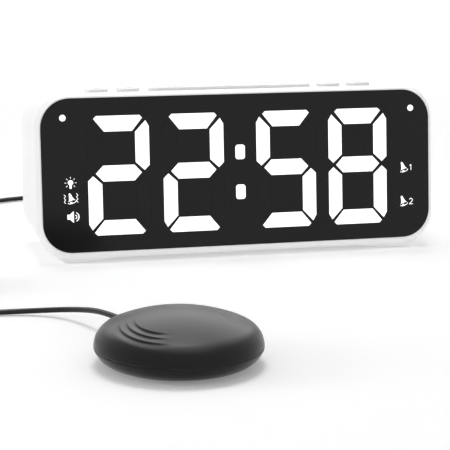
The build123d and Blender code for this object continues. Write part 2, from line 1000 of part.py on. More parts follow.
with BuildPart() as usb_tongue:
    extrude(
        rectangles(
            back.offset(usb_slot_depth),
            [(usb_place, usb_axis + usb_tongue_drop)],
            usb_tongue_width,
            usb_tongue_height,
        ),
        amount=-usb_tongue_length,
    )
save(usb_tongue, "usb_tongue")

with BuildPart() as mode_switch_body:
    spot = [(selector_place, selector_axis)]
    extrude(
        rectangles(back.offset(socket_seat), spot, selector_width, selector_height),
        amount=selector_length,
    )
    extrude(
        rectangles(
            back.offset(socket_seat),
            spot,
            knob_width + 2 * knob_step + 2 * socket_gap,
            knob_height + 2 * socket_gap,
        ),
        amount=selector_slot_depth,
        mode=Mode.SUBTRACT,
    )
save(mode_switch_body, "mode_switch_body")

with BuildPart() as mode_switch_knob:
    extrude(
        rectangles(back.offset(-knob_proud), [(selector_place, selector_axis)], knob_width, knob_height),
        amount=knob_proud + socket_seat + knob_inside,
    )
save(mode_switch_knob, "mode_switch_knob")

with BuildPart() as power_inlet:
    spot = [(inlet_place, inlet_axis)]
    extrude(
        rectangles(back.offset(socket_seat), spot, inlet_width, inlet_height),
        amount=inlet_length - socket_seat,
    )
    extrude(circles(back, spot, inlet_nose), amount=socket_seat)
    extrude(circles(back, spot, inlet_bore), amount=inlet_bore_depth, mode=Mode.SUBTRACT)
save(power_inlet, "power_inlet")

with BuildPart() as power_inlet_pin:
    extrude(
        circles(back.offset(inlet_bore_depth), [(inlet_place, inlet_axis)], inlet_pin),
        amount=-inlet_pin_length,
    )
save(power_inlet_pin, "power_inlet_pin")

# Loudspeaker
speaker_slice = Plane(
    origin=(clock_x + speaker_place, clock_y + case_depth - wall, speaker_height),
    x_dir=(1, 0, 0),
    z_dir=(0, 0, 1),
)
speaker_axis = Axis(speaker_slice.origin, (0, -1, 0))
with BuildPart() as speaker_basket:
    with BuildSketch(speaker_slice):
        with BuildLine():
            Polyline(
                (speaker_cone_radius, 0),
                (speaker_radius, 0),
                (speaker_radius, -speaker_flange),
                (speaker_cone_radius, -speaker_flange - speaker_skin),
                (speaker_neck + speaker_skin, -speaker_depth),
                (0, -speaker_depth),
                (0, speaker_skin - speaker_depth),
                (speaker_neck, speaker_skin - speaker_depth),
                (speaker_cone_radius - speaker_skin, -speaker_flange),
                close=True,
            )
        make_face()
    revolve(axis=speaker_axis)
save(speaker_basket, "speaker_basket")

with BuildPart() as speaker_cone:
    with BuildSketch(speaker_slice):
        with BuildLine():
            Polyline(
                (speaker_cone_radius - speaker_skin, -speaker_flange),
                (speaker_neck, speaker_skin - speaker_depth),
                (0, speaker_skin - speaker_depth),
                (0, 2 * speaker_skin - speaker_depth),
                (speaker_neck - speaker_skin / 2, 2 * speaker_skin - speaker_depth),
                (speaker_cone_radius - 2 * speaker_skin, -speaker_flange),
                close=True,
            )
        make_face()
    revolve(axis=speaker_axis)
save(speaker_cone, "speaker_cone")

with BuildPart() as speaker_magnet:
    extrude(
        circles(back.offset(wall + speaker_depth), [speaker_spot], speaker_magnet_radius),
        amount=speaker_magnet_depth,
    )
save(speaker_magnet, "speaker_magnet")

# Battery door, tray, cells and contacts
with BuildPart() as battery_door:
    with BuildSketch(back.offset(door_sink)):
        with Locations((door_place, door_middle)):
            RectangleRounded(door_width, door_height, door_corner)
        with Locations((door_place, door_low)):
            Rectangle(door_width, door_thickness, mode=Mode.SUBTRACT)
    extrude(amount=door_thickness)
    with BuildSketch(pivot_plane):
        Circle(door_thickness / 2)
    extrude(amount=door_width / 2, both=True)
    with BuildSketch(pivot_plane):
        Circle(pivot_radius)
    extrude(amount=door_width / 2 + pivot_length, both=True)
save(battery_door, "battery_door")

tray_width = door_opening_width + 2 * tray_wall + 2 * tray_overlap
tray_height = door_opening_height + 2 * tray_wall + 2 * tray_overlap
with BuildPart() as battery_tray:
    with BuildSketch(back.offset(wall)):
        with Locations((door_place, door_middle)):
            Rectangle(tray_width, tray_height)
    extrude(amount=tray_depth)
    with BuildSketch(back.offset(wall)):
        with Locations((door_place, door_middle)):
            Rectangle(tray_width - 2 * tray_wall, tray_height - 2 * tray_wall)
    extrude(amount=tray_depth - tray_wall, mode=Mode.SUBTRACT)
save(battery_tray, "battery_tray")

cell_behind_wall = tray_depth - tray_wall - cell_radius
tray_inside_half = tray_width / 2 - tray_wall


def cell_level(side, distance):
    """The plane across one cell, this far from its middle towards its raised end."""
    middle = Plane(
        origin=(
            clock_x + door_place,
            clock_y + case_depth - wall - cell_behind_wall,
            door_middle + side * cell_pitch / 2,
        ),
        x_dir=(0, 1, 0),
        z_dir=(side, 0, 0),
    )
    return middle.offset(distance)


with BuildPart() as backup_cells:
    for side in (-1, 1):
        extrude(circles(cell_level(side, -cell_length / 2), [(0, 0)], cell_radius), amount=cell_length)
        extrude(
            circles(cell_level(side, cell_length / 2), [(0, 0)], cell_button_radius),
            amount=cell_button_length,
        )
save(backup_cells, "backup_cells")

plus_room = tray_inside_half - cell_length / 2 - cell_button_length
spring_start = contact_thickness - tray_inside_half
with BuildPart() as battery_contacts:
    for side in (-1, 1):
        for end, inward in ((tray_inside_half, -1), (-tray_inside_half, 1)):
            extrude(
                rectangles(cell_level(side, end), [(0, 0)], contact_width, contact_width),
                amount=inward * contact_thickness,
            )
        extrude(
            circles(cell_level(side, tray_inside_half), [(0, 0)], contact_spring_tip), amount=-plus_room
        )
        spring_root = circles(cell_level(side, spring_start), [(0, 0)], contact_spring_radius)
        spring_tip = circles(cell_level(side, -cell_length / 2), [(0, 0)], contact_spring_tip)
        loft([spring_root, spring_tip], ruled=True)
save(battery_contacts, "battery_contacts")


def screws(seat, places, shank, shank_length, head, head_height):
    """Screws with heads on a plane: shanks go against the plane's normal, heads stand on it."""
    extrude(circles(seat, places, shank), amount=-shank_length)
    extrude(circles(seat, places, head), amount=head_height)


with BuildPart() as case_screws:
    screws(
        Plane(origin=back.offset(case_head_sink).origin, x_dir=(-1, 0, 0), z_dir=(0, 1, 0)),
        [(-x, height) for x, height in post_places],
        case_shank,
        case_shank_length,
        case_head,
        case_head_height,
    )
save(case_screws, "case_screws")

with BuildPart() as board_screws:
    lamp_seat = behind(lamp_board_back)
    screws(
        Plane(origin=lamp_seat.origin, x_dir=(-1, 0, 0), z_dir=-lamp_seat.z_dir),
        [(-x, y) for x, y in lug_screw_spots],
        small_shank,
        small_shank_length,
        small_head,
        small_head_height,
    )
    button_seat = top.offset(-button_board_top - board_thickness)
    screws(
        Plane(origin=button_seat.origin, x_dir=(-1, 0, 0), z_dir=-button_seat.z_dir),
        [(-x, y) for x, y in hanger_places],
        small_shank,
        small_shank_length,
        small_head,
        small_head_height,
    )
    screws(
        clock_level(main_board_top),
        standoff_places,
        small_shank,
        small_shank_length,
        small_head,
        small_head_height,
    )
save(board_screws, "board_screws")

# Shaker housing
crown_span = shaker_radius - shaker_shoulder
crown_radius = (crown_span**2 + shaker_dome**2 - shaker_shoulder**2) / (2 * (shaker_dome - shaker_shoulder))
crown_centre = shaker_seam + shaker_dome - crown_radius


def dome_height(distance, inset):
    """Height of the crown at a distance from the axis, for a surface this far inside the outer one."""
    return crown_centre + math.sqrt((crown_radius - inset) ** 2 - distance**2)


def shell_profile(side, flat, rise, shoulder, inset):
    """Half section of the dome, side 1, or the bowl, side -1: a flat, a wide arc and a tighter one.

    The surface lies this far inside the outer one, and both arcs keep their centres.
    """
    span = shaker_radius - shoulder - flat
    wide = (span**2 + rise**2 - shoulder**2) / (2 * (rise - shoulder))
    share = (wide - inset) / (wide - shoulder)
    end_height = shaker_seam + side * (rise - inset)
    meet = (flat + span * share, shaker_seam + side * (rise - wide) * (1 - share))
    with BuildSketch(shaker_slice) as profile:
        with BuildLine():
            TangentArc((flat, end_height), meet, tangent=(1, 0))
            TangentArc((shaker_radius - inset, shaker_seam), meet, tangent=(0, side))
            Polyline((shaker_radius - inset, shaker_seam), (0, shaker_seam), (0, end_height))
            if flat:
                Line((0, end_height), (flat, end_height))
        make_face()
    return profile.sketch


def dome_profile(inset):
    """Half section of the dome above the seam."""
    return shell_profile(1, 0, shaker_dome, shaker_shoulder, inset)


def bowl_profile(inset):
    """Half section of the bowl below the seam."""
    return shell_profile(
        -1, shaker_base_radius, shaker_seam - shaker_base_height, shaker_underside, inset
    )


boot_direction = Vector(math.cos(math.radians(boot_turn)), math.sin(math.radians(boot_turn)), 0)
boot_origin = Vector(shaker_x, shaker_y, boot_height)
boot_tip = boot_origin + boot_direction * boot_reach
boot_plane = Plane(origin=boot_origin, z_dir=boot_direction)
shaker_post_spots = [
    (
        shaker_post_ring * math.cos(math.radians(90 + 360 * turn / shaker_posts)),
        shaker_post_ring * math.sin(math.radians(90 + 360 * turn / shaker_posts)),
    )
    for turn in range(shaker_posts)
]


def flute_band(group, step):
    """One crescent: the part of a disc that a larger disc, shifted back, leaves free."""
    radius = group["radius"] - step * flute_pitch
    slip = flute_width / (1 - math.cos(math.radians(group["sweep"])))
    back_x = group["x"] - slip * math.cos(math.radians(group["turn"]))
    back_y = group["y"] - slip * math.sin(math.radians(group["turn"]))
    with BuildSketch(shaker_level(shaker_seam)) as band:
        with Locations((group["x"], group["y"])):
            Circle(radius)
        with Locations((back_x, back_y)):
            Circle(radius + slip - flute_width, mode=Mode.SUBTRACT)
    return band.sketch


with BuildPart() as dome_skin:
    revolve(dome_profile(0), axis=shaker_axis)
    add(revolve(dome_profile(flute_depth), axis=shaker_axis, mode=Mode.PRIVATE), mode=Mode.SUBTRACT)

with BuildPart() as flutes:
    for group in flute_groups:
        for step in range(flute_count):
            extrude(flute_band(group, step), amount=2 * shaker_dome)
    add(dome_skin.part, mode=Mode.INTERSECT)

shaker_post_top = (
    dome_height(shaker_post_ring + shaker_post_radius, 0)
    + dome_height(shaker_post_ring - shaker_post_radius, shaker_wall)
) / 2
with BuildPart() as shaker_top_shell:
    revolve(dome_profile(0), axis=shaker_axis)
    chamfer(shaker_top_shell.edges().filter_by(GeomType.CIRCLE).sort_by(Axis.Z)[0], seam_bevel)
    revolve(dome_profile(shaker_wall), axis=shaker_axis, mode=Mode.SUBTRACT)
    extrude(
        circles(shaker_level(shaker_seam), shaker_post_spots, shaker_post_radius),
        amount=shaker_post_top - shaker_seam,
    )
    extrude(
        circles(shaker_level(shaker_seam), shaker_post_spots, shaker_shank + pilot_gap),
        amount=shaker_shank_length + shaker_head_seat - shaker_seam + pilot_gap,
        mode=Mode.SUBTRACT,
    )
    add(flutes.part, mode=Mode.SUBTRACT)
    extrude(
        circles(boot_plane.offset(boot_flange_start), [(0, 0)], boot_root_radius + boot_gap),
        amount=shaker_radius - boot_flange_start + cut_over,
        mode=Mode.SUBTRACT,
    )
save(shaker_top_shell, "shaker_top_shell")

floor_middle = shaker_base_height + shaker_wall / 2
post_foot = shaker_base_height + shaker_wall * 3 / 4
clamp_middle = clamp_start + clamp_length / 2
clamp_screw_spots = [(clamp_middle, side * clamp_screw_place) for side in (-1, 1)]
motor_plane = Plane(origin=(shaker_x, shaker_y, motor_height), x_dir=(0, 1, 0), z_dir=(1, 0, 0))
with BuildPart() as bowl_fittings:
    extrude(
        circles(shaker_level(post_foot), shaker_post_spots, shaker_post_radius),
        amount=shaker_seam - post_foot,
    )
    cradle_spot = [(cradle_start + cradle_length / 2, 0)]
    extrude(
        rectangles(shaker_level(floor_middle), cradle_spot, cradle_length, 2 * cradle_half),
        amount=cradle_top - floor_middle,
    )
    extrude(
        circles(shaker_level(floor_middle), clamp_screw_spots, clamp_post_radius),
        amount=clamp_seat - floor_middle,
    )
    extrude(
        circles(motor_plane.offset(cradle_start), [(0, 0)], motor_radius + motor_fit),
        amount=cradle_length,
        mode=Mode.SUBTRACT,
    )
    extrude(
        circles(shaker_level(clamp_seat), clamp_screw_spots, small_shank + pilot_gap),
        amount=clamp_thickness - small_shank_length - pilot_gap,
        mode=Mode.SUBTRACT,
    )

with BuildPart() as bowl_space:
    revolve(bowl_profile(shaker_wall), axis=shaker_axis)
    add(bowl_fittings.part, mode=Mode.SUBTRACT)

with BuildPart() as shaker_bottom_shell:
    revolve(bowl_profile(0), axis=shaker_axis)
    chamfer(shaker_bottom_shell.edges().filter_by(GeomType.CIRCLE).sort_by(Axis.Z)[-1], seam_bevel)
    extrude(
        circles(shaker_level(0), shaker_post_spots, shaker_shank + shaker_head_gap),
        amount=shaker_seam,
        mode=Mode.SUBTRACT,
    )
    extrude(
        circles(shaker_level(0), shaker_post_spots, shaker_head + shaker_head_gap),
        amount=shaker_head_seat,
        mode=Mode.SUBTRACT,
    )
    extrude(
        circles(shaker_level(shaker_base_height), [(0, 0)], shaker_foot_radius + shaker_foot_gap),
        amount=shaker_foot_sink,
        mode=Mode.SUBTRACT,
    )
    extrude(
        circles(boot_plane.offset(boot_flange_start), [(0, 0)], boot_root_radius + boot_gap),
        amount=shaker_radius - boot_flange_start + cut_over,
        mode=Mode.SUBTRACT,
    )
    add(bowl_space.part, mode=Mode.SUBTRACT)
save(shaker_bottom_shell, "shaker_bottom_shell")

with BuildPart() as shaker_foot_pad:
    extrude(
        circles(shaker_level(0), [(0, 0)], shaker_foot_radius), amount=shaker_base_height + shaker_foot_sink
    )
save(shaker_foot_pad, "shaker_foot_pad")

with BuildPart() as shaker_strain_relief:
    extrude(
        circles(boot_plane.offset(boot_flange_start), [(0, 0)], boot_flange_radius),
        amount=boot_flange_end - boot_flange_start,
    )
    extrude(
        circles(boot_plane.offset(boot_flange_end), [(0, 0)], boot_root_radius),
        amount=shaker_radius - boot_flange_end,
    )
    boot_root = circles(boot_plane.offset(shaker_radius), [(0, 0)], boot_root_radius)
    boot_end = circles(boot_plane.offset(boot_reach), [(0, 0)], boot_tip_radius)
    loft([boot_root, boot_end], ruled=True)
save(shaker_strain_relief, "shaker_strain_relief")

# Motor and its eccentric weight
with BuildPart() as motor_can:
    extrude(circles(motor_plane.offset(motor_start), [(0, 0)], motor_radius), amount=motor_length)
    extrude(
        circles(motor_plane.offset(motor_start + motor_length), [(0, 0)], motor_nose_radius),
        amount=motor_nose_length,
    )
    extrude(
        circles(motor_plane.offset(motor_start), [(0, 0)], shaft_radius + shaft_gap),
        amount=motor_length + motor_nose_length,
        mode=Mode.SUBTRACT,
    )
save(motor_can, "motor_can")

with BuildPart() as motor_end_cap:
    extrude(circles(motor_plane.offset(motor_start), [(0, 0)], motor_radius), amount=-motor_cap_thickness)
save(motor_end_cap, "motor_end_cap")

with BuildPart() as motor_shaft:
    extrude(circles(motor_plane.offset(shaft_start), [(0, 0)], shaft_radius), amount=shaft_end - shaft_start)
save(motor_shaft, "motor_shaft")

with BuildPart() as eccentric_weight:
    with BuildSketch(motor_plane.offset(weight_start)):
        Circle(weight_radius)
        with Locations((0, weight_radius / 2)):
            Rectangle(2 * weight_radius, weight_radius, mode=Mode.SUBTRACT)
        Circle(weight_hub)
        Circle(shaft_radius, mode=Mode.SUBTRACT)
    extrude(amount=weight_length)
save(eccentric_weight, "eccentric_weight")

clamp_radius = motor_radius + motor_fit
with BuildPart() as motor_clamp:
    with BuildSketch(motor_plane.offset(clamp_start)):
        Circle(clamp_radius + clamp_thickness)
        with Locations((0, clamp_seat + clamp_thickness / 2 - motor_height)):
            Rectangle(2 * clamp_reach, clamp_thickness)
        Circle(clamp_radius, mode=Mode.SUBTRACT)
        with Locations((0, clamp_seat - motor_height - motor_radius)):
            Rectangle(2 * clamp_reach, 2 * motor_radius, mode=Mode.SUBTRACT)
    extrude(amount=clamp_length)
    extrude(
        circles(shaker_level(clamp_seat), clamp_screw_spots, small_shank + pilot_gap),
        amount=clamp_thickness,
        mode=Mode.SUBTRACT,
    )
save(motor_clamp, "motor_clamp")

with BuildPart() as shaker_screws:
    screws(
        Plane(origin=(shaker_x, shaker_y, shaker_head_seat), x_dir=(1, 0, 0), z_dir=(0, 0, -1)),
        [(x, -y) for x, y in shaker_post_spots],
        shaker_shank,
        shaker_shank_length,
        shaker_head,
        shaker_head_height,
    )
    screws(
        shaker_level(clamp_seat + clamp_thickness),
        clamp_screw_spots,
        small_shank,
        small_shank_length,
        small_head,
        small_head_height,
    )
save(shaker_screws, "shaker_screws")

# Plug at the clock's back
plug_spot = [(shaker_socket_place, shaker_socket_axis)]
plug_end = case_depth + plug_body_length + plug_boot_length
with BuildPart() as shaker_plug:
    extrude(circles(back, plug_spot, plug_body_radius), amount=-plug_body_length)
    fillet(shaker_plug.edges().filter_by(GeomType.CIRCLE), plug_edge)
    boot_start = circles(back.offset(plug_edge - plug_body_length), plug_spot, plug_boot_radius + plug_edge)
    boot_finish = circles(back.offset(-plug_body_length - plug_boot_length), plug_spot, plug_boot_radius)
    loft([boot_start, boot_finish], ruled=True)
save(shaker_plug, "shaker_plug")

with BuildPart() as shaker_plug_pin:
    extrude(circles(back, plug_spot, plug_pin_radius), amount=plug_pin_length)
save(shaker_plug_pin, "shaker_plug_pin")

# Cord: two free stretches and the put-away coil between them
coil_centre = Vector(clock_x + coil_x, clock_y + coil_y, 0)
coil_base = tie_wall + tie_gap + cord_radius
coil_turns = coil_layer_turns * coil_layers
coil_drop = coil_pitch * coil_layer_turns


def coil_state(turn):
    """Point and direction of the coil after so many turns: in and out again, a layer up each time."""
    layer = min(int(turn / coil_layer_turns), coil_layers - 1)
    along = turn - layer * coil_layer_turns
    inward = layer % 2 == 0
    radius = coil_outer_radius - coil_pitch * (along if inward else coil_layer_turns - along)
    slope = -coil_pitch if inward else coil_pitch
    nearest = round(turn / coil_layer_turns)
    reversing = abs(turn - nearest * coil_layer_turns) < 1 / 4 and 0 < nearest < coil_layers
    height = coil_base + coil_pitch * layer
    climb = 0
    if reversing:
        height = coil_base + coil_pitch * (nearest - 1 / 2 + 2 * (turn - nearest * coil_layer_turns))
        climb = 2 * coil_pitch
        slope = 0
    angle = math.pi - 2 * math.pi * turn
    point = coil_centre + Vector(radius * math.cos(angle), radius * math.sin(angle), height)
    spin = 2 * math.pi * radius
    tangent = Vector(
        spin * math.sin(angle) + slope * math.cos(angle),
        -spin * math.cos(angle) + slope * math.sin(angle),
        climb,
    ).normalized()
    return point, tangent


def biarc(start, start_way, end, end_way):
    """Middle point of two arcs, equal in tangent length, that join two points and directions."""
    across = end - start
    ways = start_way + end_way
    spread = 2 * (1 - start_way.dot(end_way))
    along = across.dot(ways)
    reach = (math.sqrt(along**2 + spread * across.dot(across)) - along) / spread
    return (start + start_way * reach + end - end_way * reach) / 2, reach


def coil_path():
    """The coil's arcs, a pair to each quarter turn, with a straight end one diameter long at each side."""
    steps = [coil_state(quarter / 4) for quarter in range(4 * coil_turns + 1)]
    first_point, first_way = steps[0]
    last_point, last_way = steps[-1]
    with BuildLine() as path:
        Line(first_point - first_way * 2 * cord_radius, first_point)
        for (start, start_way), (end, end_way) in zip(steps, steps[1:]):
            middle, reach = biarc(start, start_way, end, end_way)
            middle_way = (end - end_way * reach - start - start_way * reach).normalized()
            TangentArc(start, middle, tangent=start_way)
            TangentArc(middle, end, tangent=middle_way)
        Line(last_point, last_point + last_way * 2 * cord_radius)
    return path.wires()[0]


def least_gap(path):
    """Least distance between the coil's turns, less the cord's thickness, measured on points."""
    count = 24 * coil_turns
    points = [path.position_at(step / count) for step in range(count + 1)]
    near = count // (2 * coil_turns)
    gaps = [
        (points[first] - points[second]).length
        for first in range(count + 1)
        for second in range(first + near, count + 1)
    ]
    return min(gaps) - 2 * cord_radius


def tube_radii(points):
    """Largest arc that each corner's two runs allow."""
    radii = []
    for before, corner, after in zip(points, points[1:], points[2:]):
        run_in = corner - before
        run_out = after - corner
        half_turn = math.radians(run_in.get_angle(run_out)) / 2
        radii.append(arc_share * min(run_in.length, run_out.length) / math.tan(half_turn))
    return radii


def cord_stretch(name, points):
    """A free stretch of cord: a tube of straight runs joined by tangent arcs."""
    radii = tube_radii(points)
    with BuildPart() as stretch:
        with BuildLine() as path:
            FilletPolyline(*points, radius=radii)
        with BuildSketch(Plane(origin=path.line @ 0, z_dir=path.line % 0)):
            Circle(cord_radius)
        sweep(path=path.wires()[0])
    save(stretch, name)
    length = path.wires()[0].length
    share = stretch.part.volume / (math.pi * cord_radius**2 * length)
    print(name, f"length {length:.1f}, volume share {share:.4f}, least radius {min(radii):.1f}")
    print("  radii", [round(radius, 1) for radius in radii])
    return length


def from_clock(x, y, z):
    """A point given from the middle of the panel's lower edge, in the shared frame."""
    return Vector(clock_x + x, clock_y + y, z)


coil_start, coil_start_way = coil_state(0)
coil_end, coil_end_way = coil_state(coil_turns)
shaker_cord_points = [
    boot_tip,
    boot_tip + boot_direction * cord_lead,
    from_clock(-94.4, -108.8, 6.4),
    from_clock(-100.8, -97.2, 4.0),
    from_clock(-110.0, -89.6, 2.2),
    from_clock(-122.2, -85.8, 1.4),
    from_clock(-136.6, -85.2, 1.3),
    from_clock(-151.0, -83.0, 1.4),
    from_clock(-162.6, -76.2, 1.6),
    from_clock(-169.4, -64.6, 2.0),
    coil_start - coil_start_way * (2 * cord_radius + cord_lead),
    coil_start - coil_start_way * 2 * cord_radius,
]
clock_cord_points = [
    coil_end + coil_end_way * 2 * cord_radius,
    coil_end + coil_end_way * (2 * cord_radius + cord_lead),
    from_clock(-168.6, 4.0, 6.8),
    from_clock(-162.0, 36.0, 2.2),
    from_clock(-154.6, 62.0, 1.4),
    from_clock(-147.0, 88.0, 1.3),
    from_clock(-138.0, 113.6, 1.3),
    from_clock(-124.6, 138.6, 1.3),
    from_clock(-105.6, 156.8, 1.3),
    from_clock(-77.6, 165.8, 1.3),
    from_clock(-51.6, 166.4, 1.3),
    from_clock(-33.0, 157.0, 1.4),
    from_clock(-20.6, 143.0, 1.5),
    from_clock(-14.2, 126.0, 4.4),
    from_clock(shaker_socket_place, plug_end + cord_lead, shaker_socket_axis),
    from_clock(shaker_socket_place, plug_end, shaker_socket_axis),
]
shaker_cord_length = cord_stretch("shaker_cord", shaker_cord_points)
clock_cord_length = cord_stretch("clock_cord", clock_cord_points)

coil_line = coil_path()
with BuildPart() as cord_coil:
    with BuildSketch(Plane(origin=coil_line @ 0, z_dir=coil_line % 0)):
        Circle(cord_radius)
    sweep(path=coil_line)
save(cord_coil, "cord_coil")
coil_share = cord_coil.part.volume / (math.pi * cord_radius**2 * coil_line.length)
print(f"cord_coil length {coil_line.length:.1f}, volume share {coil_share:.4f}")
print(f"cord_coil least gap between turns {least_gap(coil_line):.3f}")
print(f"whole cord {shaker_cord_length + clock_cord_length + coil_line.length:.0f}")

tie_room = 2 * (cord_radius + tie_gap)
tie_across = (coil_layer_turns - 1) * coil_pitch + tie_room
tie_up = (coil_layers - 1) * coil_pitch + tie_room
tie_middle = coil_outer_radius - coil_drop / 2
tie_plane = Plane(
    origin=coil_centre + Vector(tie_middle, 0, tie_wall + tie_up / 2), x_dir=(1, 0, 0), z_dir=(0, -1, 0)
)
with BuildPart() as cord_tie:
    with BuildSketch(tie_plane):
        RectangleRounded(tie_across + 2 * tie_wall, tie_up + 2 * tie_wall, cord_radius + tie_wall)
        RectangleRounded(tie_across, tie_up, cord_radius, mode=Mode.SUBTRACT)
    extrude(amount=tie_width / 2, both=True)
save(cord_tie, "cord_tie")
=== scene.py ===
import logging
import math
from dataclasses import dataclass, field
from enum import Enum
from typing import Sequence, Union

import bmesh
import bpy
import numpy as np
from mathutils import Matrix


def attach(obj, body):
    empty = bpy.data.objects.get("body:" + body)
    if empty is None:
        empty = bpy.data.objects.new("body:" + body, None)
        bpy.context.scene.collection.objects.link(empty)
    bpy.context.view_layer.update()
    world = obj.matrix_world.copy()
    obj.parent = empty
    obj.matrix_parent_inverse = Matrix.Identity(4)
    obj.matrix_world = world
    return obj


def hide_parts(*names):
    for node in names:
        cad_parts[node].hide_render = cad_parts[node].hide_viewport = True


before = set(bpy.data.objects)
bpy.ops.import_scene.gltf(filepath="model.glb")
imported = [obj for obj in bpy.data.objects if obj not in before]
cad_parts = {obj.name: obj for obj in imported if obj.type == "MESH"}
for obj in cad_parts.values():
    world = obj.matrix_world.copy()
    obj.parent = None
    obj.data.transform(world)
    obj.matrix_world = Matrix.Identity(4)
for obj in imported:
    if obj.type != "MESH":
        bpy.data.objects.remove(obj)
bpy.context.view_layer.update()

LOG = logging.getLogger("bedside_clock")
MM = 0.001
ROOT = "clock_and_shaker"
Triple = tuple[float, float, float]
Number = Union[float, "Link"]


class Link:
    """An output socket of a shader tree, on which Python's operators add Math nodes."""

    def __init__(self, tree: "ShaderTree", socket: bpy.types.NodeSocket | None) -> None:
        """Keep the tree and the socket.

        Args:
            tree: The tree that holds the socket.
            socket: The output that carries a number, a colour or a vector, if the node has one.
        """
        self.tree = tree
        self.socket = socket

    def math(self, operation: str, *others: Number, first: Number | None = None) -> "Link":
        """Add one Math node.

        Args:
            operation: The Math node's operation.
            others: The values or links that follow the first one.
            first: What takes the first socket, where it isn't this link.

        Returns:
            The node's result.
        """
        values = [self if first is None else first, *others]
        return self.tree.node("ShaderNodeMath", {"operation": operation}, dict(enumerate(values)))

    def __add__(self, other: Number) -> "Link":
        """This plus other."""
        return self.math("ADD", other)

    def __radd__(self, other: Number) -> "Link":
        """Other plus this."""
        return self.math("ADD", other)

    def __sub__(self, other: Number) -> "Link":
        """This less other."""
        return self.math("SUBTRACT", other)

    def __rsub__(self, other: Number) -> "Link":
        """Other less this."""
        return self.math("SUBTRACT", self, first=other)

    def __mul__(self, other: Number) -> "Link":
        """This times other."""
        return self.math("MULTIPLY", other)

    def __rmul__(self, other: Number) -> "Link":
        """Other times this."""
        return self.math("MULTIPLY", other)

    def __truediv__(self, other: Number) -> "Link":
        """This over other."""
        return self.math("DIVIDE", other)

    def above(self, edge: float, width: float) -> "Link":
        """A soft step from 0 to 1 at an edge.

        Args:
            edge: The value at which the step begins.
            width: How far it takes to reach 1.

        Returns:
            The step, smooth at both ends.
        """
        settings = {"interpolation_type": "SMOOTHSTEP", "clamp": True}
        sockets = {"Value": self, "From Min": edge, "From Max": edge + width}
        return self.tree.node("ShaderNodeMapRange", settings, sockets)


class ShaderTree:
    """A node tree of a material or the world, with one method that makes every node."""

    def __init__(self, owner: bpy.types.Material | bpy.types.World) -> None:
        """Empty the owner's tree.

        Args:
            owner: The material or world to dress.
        """
        owner.use_nodes = True
        self.tree = owner.node_tree
        self.tree.nodes.clear()

    def node(
        self,
        kind: str,
        settings: dict[str, object] | None = None,
        sockets: dict[int | str, object] | None = None,
        output: int | str = 0,
    ) -> Link:
        """Make a node, set it, and fill its sockets.

        Args:
            kind: The node's type.
            settings: Its properties, which are set first.
            sockets: What each input gets: a value, or a link.
            output: Which output is wanted.

        Returns:
            That output as a link.
        """
        made = self.tree.nodes.new(kind)
        for name, value in (settings or {}).items():
            setattr(made, name, value)
        for place, value in (sockets or {}).items():
            if isinstance(value, Link):
                self.tree.links.new(value.socket, made.inputs[place])
            else:
                made.inputs[place].default_value = value
        return Link(self, made.outputs[output] if len(made.outputs) else None)

    def place(self, stretch: Triple = (1.0, 1.0, 1.0)) -> Link:
        """Object coordinates in millimetres.

        Args:
            stretch: A further factor for each axis, for a drawn-out pattern.

        Returns:
            The scaled coordinates.
        """
        coordinates = self.node("ShaderNodeTexCoord", output="Object")
        scale = tuple(factor / MM for factor in stretch)
        settings = {"operation": "MULTIPLY"}
        return self.node("ShaderNodeVectorMath", settings, {0: coordinates, 1: scale})

    def axes(self, place: Link) -> tuple[Link, Link, Link]:
        """The three coordinates of a place, each as a number."""
        split = self.node("ShaderNodeSeparateXYZ", None, {0: place})
        outputs = split.socket.node.outputs
        return Link(self, outputs[0]), Link(self, outputs[1]), Link(self, outputs[2])

    def noise(self, place: Link, scale: float, detail: float = 2.0, roughness: float = 0.5) -> Link:
        """Cloudy noise from 0 to 1.

        Args:
            place: The coordinates that it follows.
            scale: How many clouds lie on a millimetre.
            detail: How many finer layers it has.
            roughness: How strong they are.

        Returns:
            The noise's height.
        """
        sockets = {"Vector": place, "Scale": scale, "Detail": detail, "Roughness": roughness}
        return self.node("ShaderNodeTexNoise", {"noise_dimensions": "3D"}, sockets, "Fac")

    def blend(self, share: Number, low: object, high: object) -> Link:
        """A colour between two colours.

        Args:
            share: 0 for the first, 1 for the second.
            low: The first colour or link.
            high: The second colour or link.

        Returns:
            The blended colour.
        """
        settings = {"data_type": "RGBA", "clamp_factor": True}
        return self.node("ShaderNodeMix", settings, {0: share, 6: solid(low), 7: solid(high)}, 2)

    def bump(self, height: Link, distance: float, strength: float = 1.0) -> Link:
        """A normal that follows a height.

        Args:
            height: The height, 0 to 1.
            distance: What 1 stands for, in millimetres.
            strength: How much of it is used.

        Returns:
            The bent normal.
        """
        sockets = {"Height": height, "Distance": distance * MM, "Strength": strength}
        return self.node("ShaderNodeBump", None, sockets)

    def surface(self, sockets: dict[str, object]) -> Link:
        """A Principled shader with these sockets, by name."""
        return self.node("ShaderNodeBsdfPrincipled", None, sockets)


def solid(colour: object) -> object:
    """A colour with alpha 1, or the link it was given."""
    return colour if isinstance(colour, Link) else (*colour, 1.0)


def grey(level: float) -> Triple:
    """An even grey of this linear level."""
    return (level, level, level)


def about(middle: float, *parts: tuple[Link, float]) -> Link:
    """A number that noises swing about a middle.

    Args:
        middle: The value where every noise is at its half.
        parts: Pairs of a noise and the width of its swing.

    Returns:
        middle − half the widths' sum, and the sum of noise·width.
    """
    total = middle - sum(width for _, width in parts) / 2
    for noise, width in parts:
        total = noise * width + total
    return total


